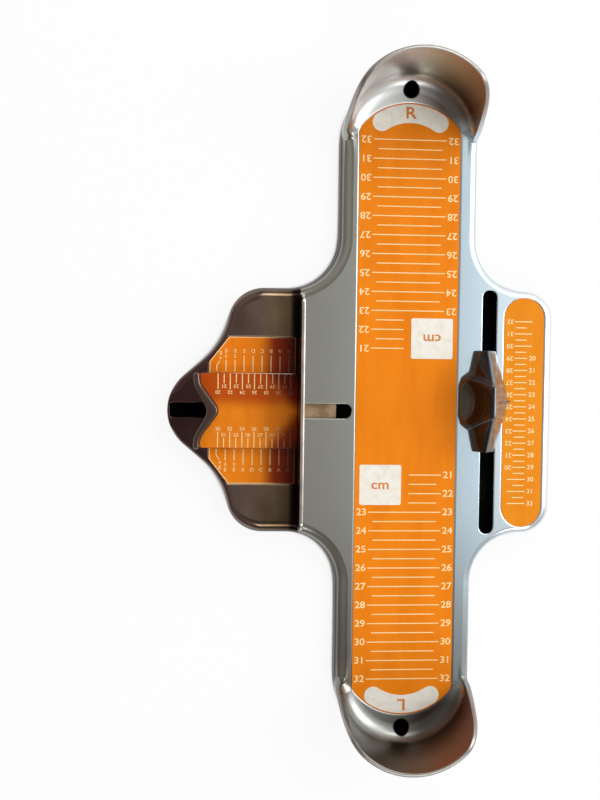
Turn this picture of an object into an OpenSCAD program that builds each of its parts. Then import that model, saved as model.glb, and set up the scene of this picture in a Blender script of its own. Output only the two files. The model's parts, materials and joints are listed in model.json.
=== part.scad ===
// Foot measuring device. A cast bed with a heel cup at each end carries three scale
// plates, a width bar that slides across it and an arch length slider that slides along it.
// X runs across the bed towards the arch slider, Y along it towards the upper heel cup and
// Z up. The origin is on the table under the middle of the bed.

/* [Bed] */
// Width of the foot bed over its skirt
bed_w = 73; // [72:0.5:78]
// Height of the bed's top face above the table
bed_h = 12; // [11.5:0.5:15]
// Thickness of the casting
wall = 3; // [2.5:0.25:3.5]
// Distance between the two heel stops
heel_span = 352.5; // [348:0.5:380]
// Radius of the four inner corners where the wings leave the bed
fillet_r = 27; // [20:1:30]
// Width of the cast ribs under the bed
rib_w = 2.5; // [2:0.5:4]
// Depth of the cast ribs under the bed
rib_h = 5; // [3:0.5:6]
// Distance of the outer rib from the middle of the bed
rib_y = 128; // [110:1:135]
// Distance between the two ribs at each end
rib_pitch = 28; // [15:1:30]

/* [Heel cups] */
// Height of the cup's rim above the bed
cup_h = 41; // [34:1:50]
// How far the cup leans outwards at its rim
cup_flare = 1.5; // [0.5:0.25:3]
// Radius between the cup's wall and the bed
cup_fillet = 8; // [4:0.5:10]
// Distance from the heel stop to where the rim meets the bed
cup_reach = 31.5; // [28:0.5:32]
// Slope of the rim where it falls to the bed, in degrees
cup_slope = 67; // [60:1:72]
// Radius between the level rim and its slope
cup_bend_r = 18; // [10:1:20]
// Diameter of the hole in each heel floor
heel_hole_d = 7.2; // [5:0.2:9]
// Distance of that hole from the heel stop
heel_hole_in = 6.6; // [6:0.1:9]

/* [Wing] */
// Half the length of the wing along the bed
wing_half = 65; // [62:1:70]
// Distance from the middle of the bed to the corner of the wing's shoulder
shoulder_x = 90.8; // [86:0.2:93]
// Radius of the wing's shoulder
shoulder_r = 19; // [12:1:22]
// Distance from the middle of the bed to the waist of the wing
waist_x = 98.6; // [96:0.2:101]
// Distance of the waist from the wing's centre line
waist_y = 34.6; // [33:0.2:37]
// Radius of the waist
waist_r = 38; // [20:1:40]
// Where the two flanks of the tip would meet
tip_x = 139.9; // [138.4:0.2:142]
// Radius of the tip
tip_r = 24; // [20:0.5:26]

/* [Ear] */
// Distance from the middle of the bed to the ear's outer edge
ear_x = 79; // [78:0.5:84]
// Radius of the ear's corners
ear_r = 15; // [10:1:18]

/* [Plates and marks] */
// Thickness of the four printed plates
plate_t = 0.6; // [0.4:0.1:0.8]
// How far the fixed plates lie below the bed's face
plate_sink = 0.3; // [0.2:0.05:0.5]
// Gap between a plate and the edge of its recess
plate_gap = 0.2; // [0.1:0.05:0.3]
// Thickness of the enamel that fills the marks
mark_t = 0.08; // [0.06:0.01:0.1]
// Width of a graduation line
line_w = 0.5; // [0.3:0.05:0.7]

/* [Length plate] */
// Width of the length plate
plate_w = 54; // [50:0.5:56]
// Distance from a heel stop to the plate's rounded end
plate_end_in = 13.25; // [13:0.25:16]
// Radius of the plate's ends
plate_end_r = 33; // [30:0.5:36]
// Radius of the plate's corners
plate_corner_r = 5; // [3:0.5:8]
// Smallest foot size on the plate, in centimetres
size_min = 21; // [20:1:22]
// Least distance from the largest size's line to the plate's corners
line_end_gap = 4.6; // [4:0.1:8]
// Length of a line for a whole size
full_line = 39; // [34:0.5:40]
// Length of a line for a half size
half_line = 34; // [26:0.5:35]
// Width of the pale panel beside the smallest sizes
panel_w = 22.4; // [18:0.2:23]
// Length of that panel along the bed
panel_l = 21.5; // [18:0.5:22]
// Width of the pale band at each heel
band_w = 9.8; // [6:0.2:11]
// Half the angle that the band turns through, in degrees
band_half_angle = 34; // [26:1:36]

/* [Arch scale] */
// Distance from the middle of the bed to the arch slot
arch_slot_x = 44.4; // [43.8:0.1:45]
// Width of both slots
slot_w = 7.6; // [7:0.1:8]
// How far the arch slot runs past the line of the ear's ends
arch_slot_past = 0.3; // [-2:0.1:1]
// Distance from the middle of the bed to the arch plate
arch_plate_x = 63.3; // [63:0.1:64]
// Width of the arch plate
arch_plate_w = 21.6; // [20:0.2:22]
// Distance from the arch plate's ends to the ear's ends
arch_plate_in = 3.5; // [3.2:0.1:6]
// Distance from the arch plate's ends to its first and last line
arch_line_in = 12.6; // [11:0.1:16]

/* [Width scale] */
// Distance from the middle of the bed to the wing slot's outer end
wing_slot_out = 125; // [123.6:0.2:125.2]
// Distance from the middle of the bed to the wing slot's inner end
wing_slot_in = 29.2; // [28.6:0.2:32]
// Distance from the middle of the bed to the letter plates' outer edge
letter_out = 104.7; // [102:0.1:105.2]
// Distance from the middle of the bed to the letter plates' inner edge
letter_in = 59.2; // [59:0.1:61]
// Half the length of the field that the letter plates fill
letter_half = 38.8; // [37:0.2:39.6]
// Distance from the centre line to the foot of the letter plates' slanted edge
letter_slant_y = 25.6; // [25:0.2:28]
// Length that the slant takes off the outer corner
letter_slant_x = 10.3; // [9.6:0.1:12]
// Distance from the letter plates' outer edge to the first width mark
letter_mark_in = 4; // [3.6:0.1:5]
// Distance from the last width mark to their inner edge
letter_mark_end = 3.66; // [3:0.02:5]
// Length of a width mark with one letter
letter_tick = 8.5; // [7:0.1:9]
// Length of a width mark with a letter and a number
letter_tick_short = 6.1; // [5:0.1:6.5]
// Number of width marks
letter_count = 9; // [8:1:9]

/* [Width bar] */
// Distance from the middle of the bed to the fence's outer face
fence_x = 58.2; // [57.8:0.1:58.8]
// Thickness of the fence
fence_t = 2; // [1.6:0.1:2.6]
// Height of the fence above the bed
fence_h = 25; // [20:1:32]
// Distance from the fence's ends to the wing's ends
fence_in = 5; // [1:0.5:12]
// Radius of the fence's upper corners
fence_corner_r = 5.5; // [3:0.5:10]
// Half the width of the tongue
tongue_half = 19.7; // [19:0.1:20.2]
// Thickness of the tongue
tongue_t = 2; // [1.6:0.1:2.6]
// Distance from the middle of the bed to the outer face of the finger pull's ends
pull_x = 112.4; // [111.6:0.2:114]
// Thickness of the finger pull at its ends
pull_t = 3.2; // [2.4:0.2:3.6]
// Distance from the middle of the bed to where the pull's outer faces meet
pull_bow_x = 104.9; // [103.6:0.1:106]
// Distance from the middle of the bed to where the pull's inner faces meet
pull_nose_x = 98.6; // [97.6:0.1:99.4]
// Height of the finger pull above the bed
pull_h = 13; // [10:1:18]
// Gap under everything that slides on the bed
lift = 0.3; // [0.3:0.05:0.5]
// Distance of the first size mark on the tongue from the middle of the bed
tongue_mark_x = 100; // [99.6:0.1:100.4]
// Distance between two size marks on the tongue
tongue_pitch = 3.17; // [3:0.01:3.2]
// Inner end of the guide key under the tongue, from the middle of the bed
width_key_in = 57.5; // [57:0.5:59]
// Length of that guide key
width_key_l = 28.5; // [26:0.5:29]
// Inner end of the keeper below it, from the middle of the bed
width_keeper_in = 37; // [36:0.5:42]

/* [Arch slider] */
// Where the slider stands along the bed
slider_y = 6.1; // [0:0.1:12]
// Half the length of the slider
slider_half = 27; // [24:0.5:30]
// Height of the slider's ridge above the bed
ridge_h = 25; // [20:1:28]
// Height of the slider's two ends above the bed
slider_end_h = 8; // [6:0.5:11]
// Thickness of the slider's flat foot
slider_foot_t = 1.5; // [1.2:0.1:2]
// Radius of the ball joint bowl at its top
bowl_r = 18; // [17:0.25:18.5]
// Radius of the bowl at its floor
bowl_floor_r = 11.5; // [10:0.5:13]
// Height of the bowl's floor above the bed
bowl_floor_h = 3; // [2.6:0.1:5]
// Distance from the middle of the bed to the bowl's axis
bowl_x = 22.4; // [21.8:0.1:22.6]
// Gap between the length plate and the front of the slider's apron
apron_gap = 1.1; // [0.8:0.1:2]
// Reach of the pointer from the middle of the bed
pointer_x = 56.4; // [55.4:0.2:57]
// Length of the guide key under the slider
arch_key_l = 32; // [28:0.5:33]
// Length of the keeper below it
arch_keeper_l = 28; // [24:1:28]

/* [Guides and fasteners] */
// Gap between a guide key and each side of its slot
guide_gap = 0.35; // [0.3:0.05:0.5]
// Depth that a guide key reaches below the casting
guide_drop = 1.6; // [1.4:0.1:2]
// Thickness of the keepers
keeper_t = 2; // [1.5:0.25:2.25]
// Width of the keepers
keeper_w = 16; // [12:0.5:17]
// Thickness of the friction springs
spring_t = 0.5; // [0.3:0.1:0.6]
// Length of the friction springs along their slots
spring_l = 20; // [18:0.5:21]
// Reach of the friction springs' arms to each side of their slots
spring_reach = 12; // [9:0.5:12]
// Diameter of the screws' thread
screw_d = 4; // [3:0.5:4]
// Diameter of the screws' heads
head_d = 7; // [6:0.5:8]
// Height of the screws' heads
head_h = 2; // [1.6:0.2:2.2]
// Depth of the screws in the guide keys
screw_in = 4.6; // [4:0.2:5]
// Distance between the two screws of a guide key
screw_pitch = 13; // [11:0.5:14]
// Thickness of the lock washers
washer_t = 0.8; // [0.5:0.1:1]

/* [Hidden] */
$fn = 48;

cut = 1; // how far a cutting tool runs past the face that it cuts
cm = 10;
under_z = bed_h - wall;
plate_z = bed_h - plate_sink - plate_t;
mark_z = bed_h - plate_sink;
slide_z = bed_h + lift;
tongue_top = slide_z + tongue_t;

heel_r = bed_w / 2;
stop_r = heel_r - wall;
stop_y = heel_span / 2;
heel_y = stop_y - stop_r;
end_y = heel_y + heel_r;
rim_z = bed_h + cup_h;
rim_r = wall / 2 - 0.2;
hole_y = stop_y - heel_hole_in;
hole_sink = 1.2; // how far the heel holes widen at the bed's face

// Each corner of the length plate runs straight into the arc of its end, which turns
// through end_turn on each side of the middle
plate_end_y = stop_y - plate_end_in - plate_end_r;
end_turn = asin((plate_w / 2 - plate_corner_r) / (plate_end_r - plate_corner_r));
peak_y = plate_end_y + plate_end_r / cos(end_turn);
corner_y = peak_y - plate_w / 2 * tan(end_turn);

band_r = plate_end_r - 0.6 - band_w / 2;
size_max = floor((stop_y + corner_y - line_end_gap) / cm);
size_min_y = cm * size_min - stop_y;
panel_x = plate_w / 2 - 2.5 - panel_w / 2;
panel_y = size_min_y + panel_l / 4;
beside_end = 2; // where the lines beside a panel end, from the middle of the bed

slot_r = slot_w / 2;
key_half_w = slot_r - guide_gap;
key_z = under_z - guide_drop;
spring_z = key_z - spring_t;
keeper_z = spring_z - keeper_t;
washer_z = keeper_z - washer_t;
head_z = washer_z - head_h;
width_key_out = width_key_in + width_key_l;
width_key_x = width_key_in + width_key_l / 2;
width_keeper_out = width_key_out - 2;
fence_foot_x = fence_x - fence_t;
ridge_x = bowl_x + bowl_r + 0.7;
bend_1 = 13.5; // where the pull's outer face starts to bend, from the centre line
bend_2 = 14.5; // where its inner face does

arch_slot_half = wing_half + arch_slot_past;
arch_plate_half = wing_half - arch_plate_in;
arch_print_x = arch_plate_x - 1.7;
arch_steps = 15; // whole sizes between the first and the last line on the arch plate
arch_first_y = arch_plate_half - arch_line_in;
arch_pitch = 2 * arch_first_y / arch_steps;
arch_half_tick = 3; // half the length of a half size's line on the arch plate
arch_tick = arch_half_tick + 0.6; // reach of a whole size's line on the side with no number
arch_long_tick = arch_tick + 2.5; // its reach on the side with a number

fence_half = wing_half - fence_in;
apron_x = plate_w / 2 + apron_gap;
letter_mark_x = letter_out - letter_mark_in;
letter_pitch = (letter_mark_x - letter_in - letter_mark_end) / (letter_count - 1);
tick_start = tongue_half + 0.7;
tick_bend = tick_start + letter_tick_short - 2.8; // where the first mark turns inwards

// The casting's outline, anticlockwise, each corner as x, y and radius
upper_outline = [[ear_x, wing_half, ear_r], [heel_r, wing_half, fillet_r],
    [heel_r, end_y, heel_r], [-heel_r, end_y, heel_r], [-heel_r, wing_half, fillet_r],
    [-shoulder_x, wing_half, shoulder_r], [-waist_x, waist_y, waist_r]];
outline = concat(upper_outline, [[-tip_x, 0, tip_r]],
    [for (i = [len(upper_outline) - 1 : -1 : 0])
        [upper_outline[i].x, -upper_outline[i].y, upper_outline[i][2]]]);

function flat(p) = [p.x, p.y];
function unit(v) = v / norm(v);
function wrap(list, i) = list[(i + len(list)) % len(list)];
function left_of(d) = [-d.y, d.x];
function apart(list) = [for (i = [0 : len(list) - 1])
    if (norm(wrap(list, i + 1) - list[i]) > 0.01) list[i]];

// A corner's arc: its start, end, centre, turn, side, radius, way out and way in
function arc_of(list, i) =
    let (c = flat(wrap(list, i)), r = wrap(list, i)[2],
        d1 = unit(c - flat(wrap(list, i - 1))), d2 = unit(flat(wrap(list, i + 1)) - c),
        turn = atan2(d1.x * d2.y - d1.y * d2.x, d1 * d2), side = sign(turn),
        tangent = r * tan(abs(turn) / 2), start = c - d1 * tangent)
    [start, c + d2 * tangent, start + side * r * left_of(d1), turn, side, r, d2, d1];

// The flat shape inside a corner list, drawn in by inset, with true arcs for its corners
module plan(list, inset = 0) {
    arcs = [for (i = [0 : len(list) - 1]) arc_of(list, i)];
    difference() {
        union() {
            polygon(apart([for (a = arcs) each
                [a[0] + inset * left_of(a[7]), a[1] + inset * left_of(a[6])]]));
            for (i = [0 : len(list) - 1], a = [arcs[i]]) if (a[4] > 0 && a[5] > max(inset, 0))
                translate(a[2]) intersection() {
                    circle(a[5] - inset);
                    polygon([[0, 0], 2 * (a[0] - a[2]), 2 * (flat(list[i]) - a[2]),
                        2 * (a[1] - a[2])]);
                }
        }
        for (a = arcs) if (a[4] < 0) translate(a[2]) circle(a[5] + inset);
    }
}

module up(z) translate([0, 0, z]) children();
module slab(z, h) up(z) linear_extrude(h) children();
module both_y() {
    children();
    mirror([0, 1, 0]) children();
}
module turned_half() {
    children();
    rotate(180) children();
}

// Corner lists of the slots, the recesses and the sliding pieces
function box_corners(x0, x1, half, r) = [[x1, half, r], [x0, half, r], [x0, -half, r], [x1, -half, r]];
function stadium(x, half_l, half_w) = box_corners(x - half_w, x + half_w, half_l, half_w);
length_field = [[plate_w / 2, corner_y, plate_corner_r], [0, peak_y, plate_end_r],
    [-plate_w / 2, corner_y, plate_corner_r], [-plate_w / 2, -corner_y, plate_corner_r],
    [0, -peak_y, plate_end_r], [plate_w / 2, -corner_y, plate_corner_r]];
arch_slot = stadium(arch_slot_x, arch_slot_half, slot_r);
arch_field = stadium(arch_plate_x, arch_plate_half, arch_plate_w / 2);
wing_slot = [[-wing_slot_in, slot_r, slot_r], [-wing_slot_out, slot_r, 1.5],
    [-wing_slot_out, -slot_r, 1.5], [-wing_slot_in, -slot_r, slot_r]];
letter_field = [[-letter_in, letter_half, 0.6],
    [-letter_out + letter_slant_x, letter_half, 0], [-letter_out, letter_slant_y, 0],
    [-letter_out, slot_r + 2.2, 0.6], [-letter_in, slot_r + 2.2, 0.6]];
width_key = [[-width_key_in, key_half_w, key_half_w], [-width_key_out, key_half_w, 1.5],
    [-width_key_out, -key_half_w, 1.5], [-width_key_in, -key_half_w, key_half_w]];
pull_outer = [[-pull_x, tongue_half, 1.2], [-pull_x, bend_1, 12], [-pull_bow_x, 0, 6],
    [-pull_x, -bend_1, 12], [-pull_x, -tongue_half, 1.2]];
pull_in_x = pull_x - pull_t;
pull_inner = [[-pull_in_x, -tongue_half, 1.2], [-pull_in_x, -bend_2, 8],
    [-pull_nose_x, 0, 5], [-pull_in_x, bend_2, 8], [-pull_in_x, tongue_half, 1.2]];
tongue_corners = concat([[-fence_foot_x, tongue_half, 0]], pull_outer,
    [[-fence_foot_x, -tongue_half, 0]]);
size_field = concat([[-fence_x, tongue_half, 0.6]],
    [for (i = [len(pull_inner) - 1 : -1 : 0]) pull_inner[i]],
    [[-fence_x, -tongue_half, 0.6]]);
fence_corners = [[fence_half, bed_h + fence_h, fence_corner_r],
    [-fence_half, bed_h + fence_h, fence_corner_r], [-fence_half, slide_z, 0.8],
    [fence_half, slide_z, 0.8]];

// Section of a heel cup's wall, from the cup's axis outwards
module cup_section() {
    lean_r = heel_r + cup_flare;
    floor_r = stop_r - cup_fillet;
    difference() {
        union() {
            polygon([[heel_r, 0], [heel_r, bed_h], [lean_r, rim_z - rim_r],
                [lean_r - 2 * rim_r, rim_z - rim_r], [stop_r, bed_h + cup_fillet],
                [floor_r, bed_h], [floor_r - cut, bed_h], [floor_r - cut, under_z],
                [stop_r, under_z], [stop_r, 0]]);
            translate([lean_r - rim_r, rim_z - rim_r]) circle(rim_r, $fn = 16);
        }
        translate([floor_r, bed_h + cup_fillet]) circle(cup_fillet, $fn = 24);
    }
}

// What stays of a cup, seen from the side: level at the rim, then down a slope to the bed
module cup_side() {
    foot_z = bed_h - cut;
    slope_y = stop_y - cup_reach;
    foot_y = slope_y - cut / tan(cup_slope);
    rise = cup_h + 0.2;
    plan([[end_y + 20, 0, 0], [end_y + 20, bed_h + rise, 0],
        [slope_y + rise / tan(cup_slope), bed_h + rise, cup_bend_r], [foot_y, foot_z, 0],
        [heel_y - 20, foot_z, 0], [heel_y - 20, -cut, 0], [end_y + 20, -cut, 0]]);
}

module heel_cup() intersection() {
    translate([0, heel_y, 0]) rotate_extrude(angle = 180) cup_section();
    translate([-bed_w, 0, 0]) rotate([90, 0, 90]) linear_extrude(2 * bed_w) cup_side();
}

module recess(list) slab(plate_z, bed_h) plan(list, -plate_gap);
module slot(list) slab(-cut, bed_h + 2 * cut) plan(list);

module ribs() for (s = [-1, 1], y = [rib_y, rib_y - rib_pitch])
    translate([-stop_r - cut / 2, s * y - rib_w / 2, under_z - rib_h])
        cube([2 * stop_r + cut, rib_w, rib_h + cut]);

module heel_hole() translate([0, hole_y, 0]) {
    cylinder(h = bed_h + cup_fillet, d = heel_hole_d);
    up(bed_h - hole_sink / 2)
        cylinder(h = hole_sink, d1 = heel_hole_d, d2 = heel_hole_d + 2 * hole_sink);
}

module base_casting() color("lightgray") difference() {
    union() {
        difference() {
            slab(0, bed_h) plan(outline);
            slab(-cut, under_z + cut) plan(outline, wall);
        }
        both_y() heel_cup();
        ribs();
    }
    recess(length_field);
    recess(arch_field);
    both_y() recess(letter_field);
    slot(arch_slot);
    slot(wing_slot);
    both_y() heel_hole();
}

module plate(z) color("darkorange") slab(z, plate_t) children();
module marks(z) color("moccasin") slab(z, mark_t) children();

module length_plate() plate(plate_z) plan(length_field);
module arch_plate() plate(plate_z) plan(arch_field);
module right_letter_plate() plate(plate_z) plan(letter_field);
module left_letter_plate() mirror([0, 1, 0]) right_letter_plate();

// A line across the bed from x0 to x1, and a tick along it from y0 to y1
module line(x0, x1, y) translate([x0, y - line_w / 2]) square([x1 - x0, line_w]);
module tick(x, y0, y1) translate([x - line_w / 2, y0]) square([line_w, y1 - y0]);

module length_marks() marks(mark_z) turned_half()
    for (step = [2 * size_min : 2 * size_max]) {
        y = cm * step / 2 - stop_y;
        half = (step % 2 == 0 ? full_line : half_line) / 2;
        line(-half, y < panel_y + panel_l / 2 + line_w ? -beside_end : half, y);
    }

module size_panels() marks(mark_z) turned_half()
    plan([[panel_x + panel_w / 2, panel_y + panel_l / 2, 1],
        [panel_x - panel_w / 2, panel_y + panel_l / 2, 1],
        [panel_x - panel_w / 2, panel_y - panel_l / 2, 1],
        [panel_x + panel_w / 2, panel_y - panel_l / 2, 1]]);

module heel_bands() marks(mark_z) both_y() translate([0, plate_end_y]) {
    far = 2 * plate_end_r;
    intersection() {
        difference() {
            circle(band_r + band_w / 2);
            circle(band_r - band_w / 2);
        }
        polygon([[0, 0], far * [sin(band_half_angle), cos(band_half_angle)],
            far * [-sin(band_half_angle), cos(band_half_angle)]]);
    }
    for (s = [-1, 1]) rotate(s * band_half_angle) translate([0, band_r])
        circle(band_w / 2);
}

// Whole sizes run up one side of the arch plate and down the other
module arch_marks() marks(mark_z) translate([arch_print_x, 0]) {
    for (k = [0 : arch_steps])
        line(k < arch_steps - 2 ? -arch_tick : -arch_long_tick,
            k > 2 ? arch_tick : arch_long_tick, arch_first_y - k * arch_pitch);
    for (k = [0 : arch_steps - 1])
        line(-arch_half_tick, arch_half_tick, arch_first_y - (k + 0.5) * arch_pitch);
}

module letter_marks() marks(mark_z) both_y() for (i = [0 : letter_count - 1]) {
    x = -letter_mark_x + i * letter_pitch;
    if (i > 0) tick(x, tick_start, tick_start + (i < 3 ? letter_tick_short : letter_tick));
    else {
        w = line_w / 2;
        tick(x, tick_start, tick_bend);
        polygon([[x - w, tick_bend], [x + w, tick_bend], [x + 1.6 + w, tick_bend + 2.3],
            [x + 1.6 - w, tick_bend + 2.3]]);
    }
}

// The width bar: tongue, finger pull, fence and the guide key that runs in the slot
module width_bar() color("silver") difference() {
    union() {
        slab(slide_z, tongue_t) plan(tongue_corners);
        slab(slide_z, pull_h - lift) plan(concat(pull_outer, pull_inner));
        translate([-fence_x, 0, 0]) rotate([90, 0, 90])
            linear_extrude(fence_t) plan(fence_corners);
        slab(key_z, guide_drop + wall + lift + tongue_t / 2) plan(width_key);
    }
    screw_places() key_hole();
}

module width_size_plate() color("darkorange")
    slab(tongue_top, plate_t) plan(size_field, plate_gap);

module width_size_marks() color("moccasin") slab(tongue_top + plate_t, mark_t) both_y()
    for (i = [0 : 12]) tick(-tongue_mark_x + i * tongue_pitch, i % 2 == 0 ? 11.1 : 14.3,
        tongue_half - 2 * plate_gap);

// Places for what holds the width bar: screws along X at the middle of its key
module screw_places() for (s = [-1, 1])
    translate([-width_key_x + s * screw_pitch / 2, 0, 0]) children();
module at_arch() translate([arch_slot_x, slider_y, 0]) rotate(90) children();
module arch_screw_places() at_arch() for (s = [-1, 1])
    translate([s * screw_pitch / 2, 0, 0]) children();

module key_hole() up(key_z - cut) cylinder(h = screw_in + cut + 0.4, d = screw_d + 0.1);
module pass_hole(z, h) up(z - cut) cylinder(h = h + 2 * cut, d = screw_d + 0.4);

module screw() color("gainsboro") union() {
    up(washer_z) cylinder(h = key_z + screw_in - washer_z, d = screw_d);
    difference() {
        up(head_z) cylinder(h = head_h, d = head_d);
        translate([-head_d / 2, -0.5, head_z - cut]) cube([head_d, 1, cut + head_h / 2]);
    }
}

module washer() color("dimgray") difference() {
    up(washer_z) cylinder(h = washer_t, d = head_d + 1);
    pass_hole(washer_z, washer_t);
}

// A leaf spring, centred on x = 0, whose two arms press up against the casting
module spring_leaf() color("slategray") translate([-spring_l / 2, 0, 0])
    rotate([90, 0, 90]) linear_extrude(spring_l) {
        seat = key_half_w + 1;
        rise = guide_drop - lift;
        polygon([[-spring_reach, spring_z + rise], [-seat, spring_z], [seat, spring_z],
            [spring_reach, spring_z + rise], [spring_reach, spring_z + rise + spring_t],
            [seat, key_z], [-seat, key_z], [-spring_reach, spring_z + rise + spring_t]]);
    }

module keeper(x0, x1) color("rosybrown")
    slab(keeper_z, keeper_t) plan(box_corners(x0, x1, keeper_w / 2, 2));

module width_friction_spring() difference() {
    translate([-width_key_x, 0, 0]) spring_leaf();
    screw_places() pass_hole(spring_z, spring_t);
}
module width_keeper() difference() {
    keeper(-width_keeper_out, -width_keeper_in);
    screw_places() pass_hole(keeper_z, keeper_t);
}
module width_washers() screw_places() washer();
module width_screws() screw_places() screw();

// The slider's foot, in plan: its apron, its back and the two narrow ends
module slider_block() hull() {
    back_x = pointer_x - 2.4;
    slab(slide_z, slider_foot_t) polygon([[apron_x, 8], [apron_x, -8], [apron_x + 1.5, -12.6],
        [apron_x + 4.9, -15.4], [back_x - 3.6, -13], [back_x - 1.4, -9.4], [back_x, -4],
        [back_x, 4], [back_x - 1.4, 9.4], [back_x - 3.6, 13], [apron_x + 4.9, 15.4],
        [apron_x + 1.5, 12.6]]);
    translate([ridge_x - 0.8, -8, bed_h + ridge_h - 1]) cube([1.6, 16, 1]);
}

module slider_wing() hull() {
    slab(slide_z, slider_foot_t) polygon([[apron_x + 4.9, 10], [pointer_x - 4.4, 10],
        [pointer_x - 6, 13], [arch_slot_x + 3.2, slider_half],
        [arch_slot_x - 8.2, slider_half], [apron_x + 5.9, 16.5]]);
    translate([ridge_x - 1, 10, bed_h + ridge_h - 5]) cube([2, 1, 1]);
    translate([ridge_x - 1, slider_half - 1, bed_h + slider_end_h - 1]) cube([2, 1, 1]);
}

module slider_pointer() hull() {
    slab(slide_z, slider_foot_t)
        polygon([[pointer_x, 0], [pointer_x - 6.4, 3.4], [pointer_x - 6.4, -3.4]]);
    translate([ridge_x + 2, -0.6, bed_h + ridge_h - 6]) cube([1, 1.2, 1]);
}

// The bowl that takes the ball of the foot
module bowl() translate([bowl_x, 0, bed_h]) rotate_extrude() difference() {
    reach = bowl_r - bowl_floor_r;
    rise = ridge_h - bowl_floor_h;
    round_r = (reach * reach + rise * rise) / (2 * reach);
    translate([0, bowl_floor_h]) square([bowl_r, rise + 2 * cut]);
    difference() {
        translate([bowl_floor_r - cut, bowl_floor_h - cut]) square([reach + 2 * cut, rise + cut]);
        translate([bowl_r - round_r, ridge_h]) circle(round_r);
    }
}

module arch_slider() color("silver") difference() {
    union() {
        translate([0, slider_y, 0]) {
            slider_block();
            both_y() slider_wing();
            slider_pointer();
        }
        slab(key_z, guide_drop + wall + lift + slider_foot_t / 2)
            translate([0, slider_y]) plan(stadium(arch_slot_x, arch_key_l / 2, key_half_w));
    }
    translate([0, slider_y, 0]) bowl();
    arch_screw_places() key_hole();
}

module arch_friction_spring() difference() {
    at_arch() spring_leaf();
    arch_screw_places() pass_hole(spring_z, spring_t);
}
module arch_keeper() difference() {
    at_arch() keeper(-arch_keeper_l / 2, arch_keeper_l / 2);
    arch_screw_places() pass_hole(keeper_z, keeper_t);
}
module arch_washers() arch_screw_places() washer();
module arch_screws() arch_screw_places() screw();

base_casting();
length_plate();
length_marks();
heel_bands();
size_panels();
arch_plate();
arch_marks();
right_letter_plate();
left_letter_plate();
letter_marks();
width_bar();
width_size_plate();
width_size_marks();
width_friction_spring();
width_keeper();
width_washers();
width_screws();
arch_slider();
arch_friction_spring();
arch_keeper();
arch_washers();
arch_screws();
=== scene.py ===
"""Looks of the foot measuring device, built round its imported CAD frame.

The frame's castings have sharp edges, so they are built again here with rounded ones. The
scales get their numbers and letters here too. X runs across the bed, Y along it and Z up.
"""

import json
import logging
import math
from dataclasses import dataclass, field
from enum import Enum
from typing import Any

import bmesh
import bpy
from mathutils import Matrix, Vector

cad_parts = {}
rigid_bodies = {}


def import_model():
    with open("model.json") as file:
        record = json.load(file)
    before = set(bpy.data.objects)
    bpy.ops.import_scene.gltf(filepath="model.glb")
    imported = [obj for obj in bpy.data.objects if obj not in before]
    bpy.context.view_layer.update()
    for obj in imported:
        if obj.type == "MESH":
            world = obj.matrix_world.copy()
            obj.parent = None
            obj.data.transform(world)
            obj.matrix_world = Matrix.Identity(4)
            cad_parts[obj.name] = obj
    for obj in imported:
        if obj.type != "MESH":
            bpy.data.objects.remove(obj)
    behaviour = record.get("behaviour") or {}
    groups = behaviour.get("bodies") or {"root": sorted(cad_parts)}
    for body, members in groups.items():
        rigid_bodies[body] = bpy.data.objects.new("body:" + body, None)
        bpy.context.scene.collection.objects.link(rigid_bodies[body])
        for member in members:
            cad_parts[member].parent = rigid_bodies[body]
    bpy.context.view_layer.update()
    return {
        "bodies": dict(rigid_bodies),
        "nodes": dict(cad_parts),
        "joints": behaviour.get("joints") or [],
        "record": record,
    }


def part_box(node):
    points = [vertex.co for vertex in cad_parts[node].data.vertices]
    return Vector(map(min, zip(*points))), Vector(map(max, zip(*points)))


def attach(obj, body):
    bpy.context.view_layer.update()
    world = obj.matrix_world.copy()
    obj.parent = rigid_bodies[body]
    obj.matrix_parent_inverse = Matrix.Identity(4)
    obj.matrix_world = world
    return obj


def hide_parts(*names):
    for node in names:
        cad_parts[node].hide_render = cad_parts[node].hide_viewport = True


log = logging.getLogger("foot_measure")

MM = 0.001
Tree = bpy.types.NodeTree
Socket = bpy.types.NodeSocket
Axes = dict[str, Socket]  # sockets by the names X, Y and Z
Piece = bpy.types.Object
BMesh = bmesh.types.BMesh
Vert = bmesh.types.BMVert
Corner = tuple[float, float, float]  # x, y and the radius that rounds it
Places = list[Vector]
Loop = list[Vert]
WHITE = "FFFFFF"
KEY_Z = (7.4 * MM, 13.0 * MM)  # a guide key's lower end and, inside its casting, its upper one


class Body(Enum):
    """The CAD bodies that pieces ride on."""

    BASE = "base"
    WIDTH_BAR = "width_bar"
    ARCH_SLIDER = "arch_slider"


class Facing(Enum):
    """Which way up a mark reads, seen with +Y at the top. The value is its turn in degrees."""

    UPRIGHT = 0.0
    UPSIDE_DOWN = 180.0


# ---------------------------------------------------------------- colour and node helpers


def linear(hex_colour: str) -> tuple[float, float, float, float]:
    """Turns an sRGB hex colour into linear RGBA.

    Args:
        hex_colour: Six hex digits, with or without a leading hash.

    Returns:
        Red, green, blue and an alpha of 1, all linear.
    """
    digits = hex_colour.lstrip("#")
    parts = [int(digits[i : i + 2], 16) / 255 for i in (0, 2, 4)]
    red, green, blue = [c / 12.92 if c <= 0.04045 else ((c + 0.055) / 1.055) ** 2.4 for c in parts]
    return red, green, blue, 1.0


def set_inputs(tree: Tree, node: bpy.types.Node, inputs: dict[str | int, Any]) -> None:
    """Links or sets a node's inputs.

    Args:
        tree: The tree that holds the node.
        node: The node.
        inputs: Input sockets by name or index. A value is another node's output socket or a
            plain value.
    """
    for name, value in inputs.items():
        if isinstance(value, Socket):
            tree.links.new(value, node.inputs[name])
        else:
            node.inputs[name].default_value = value


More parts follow.
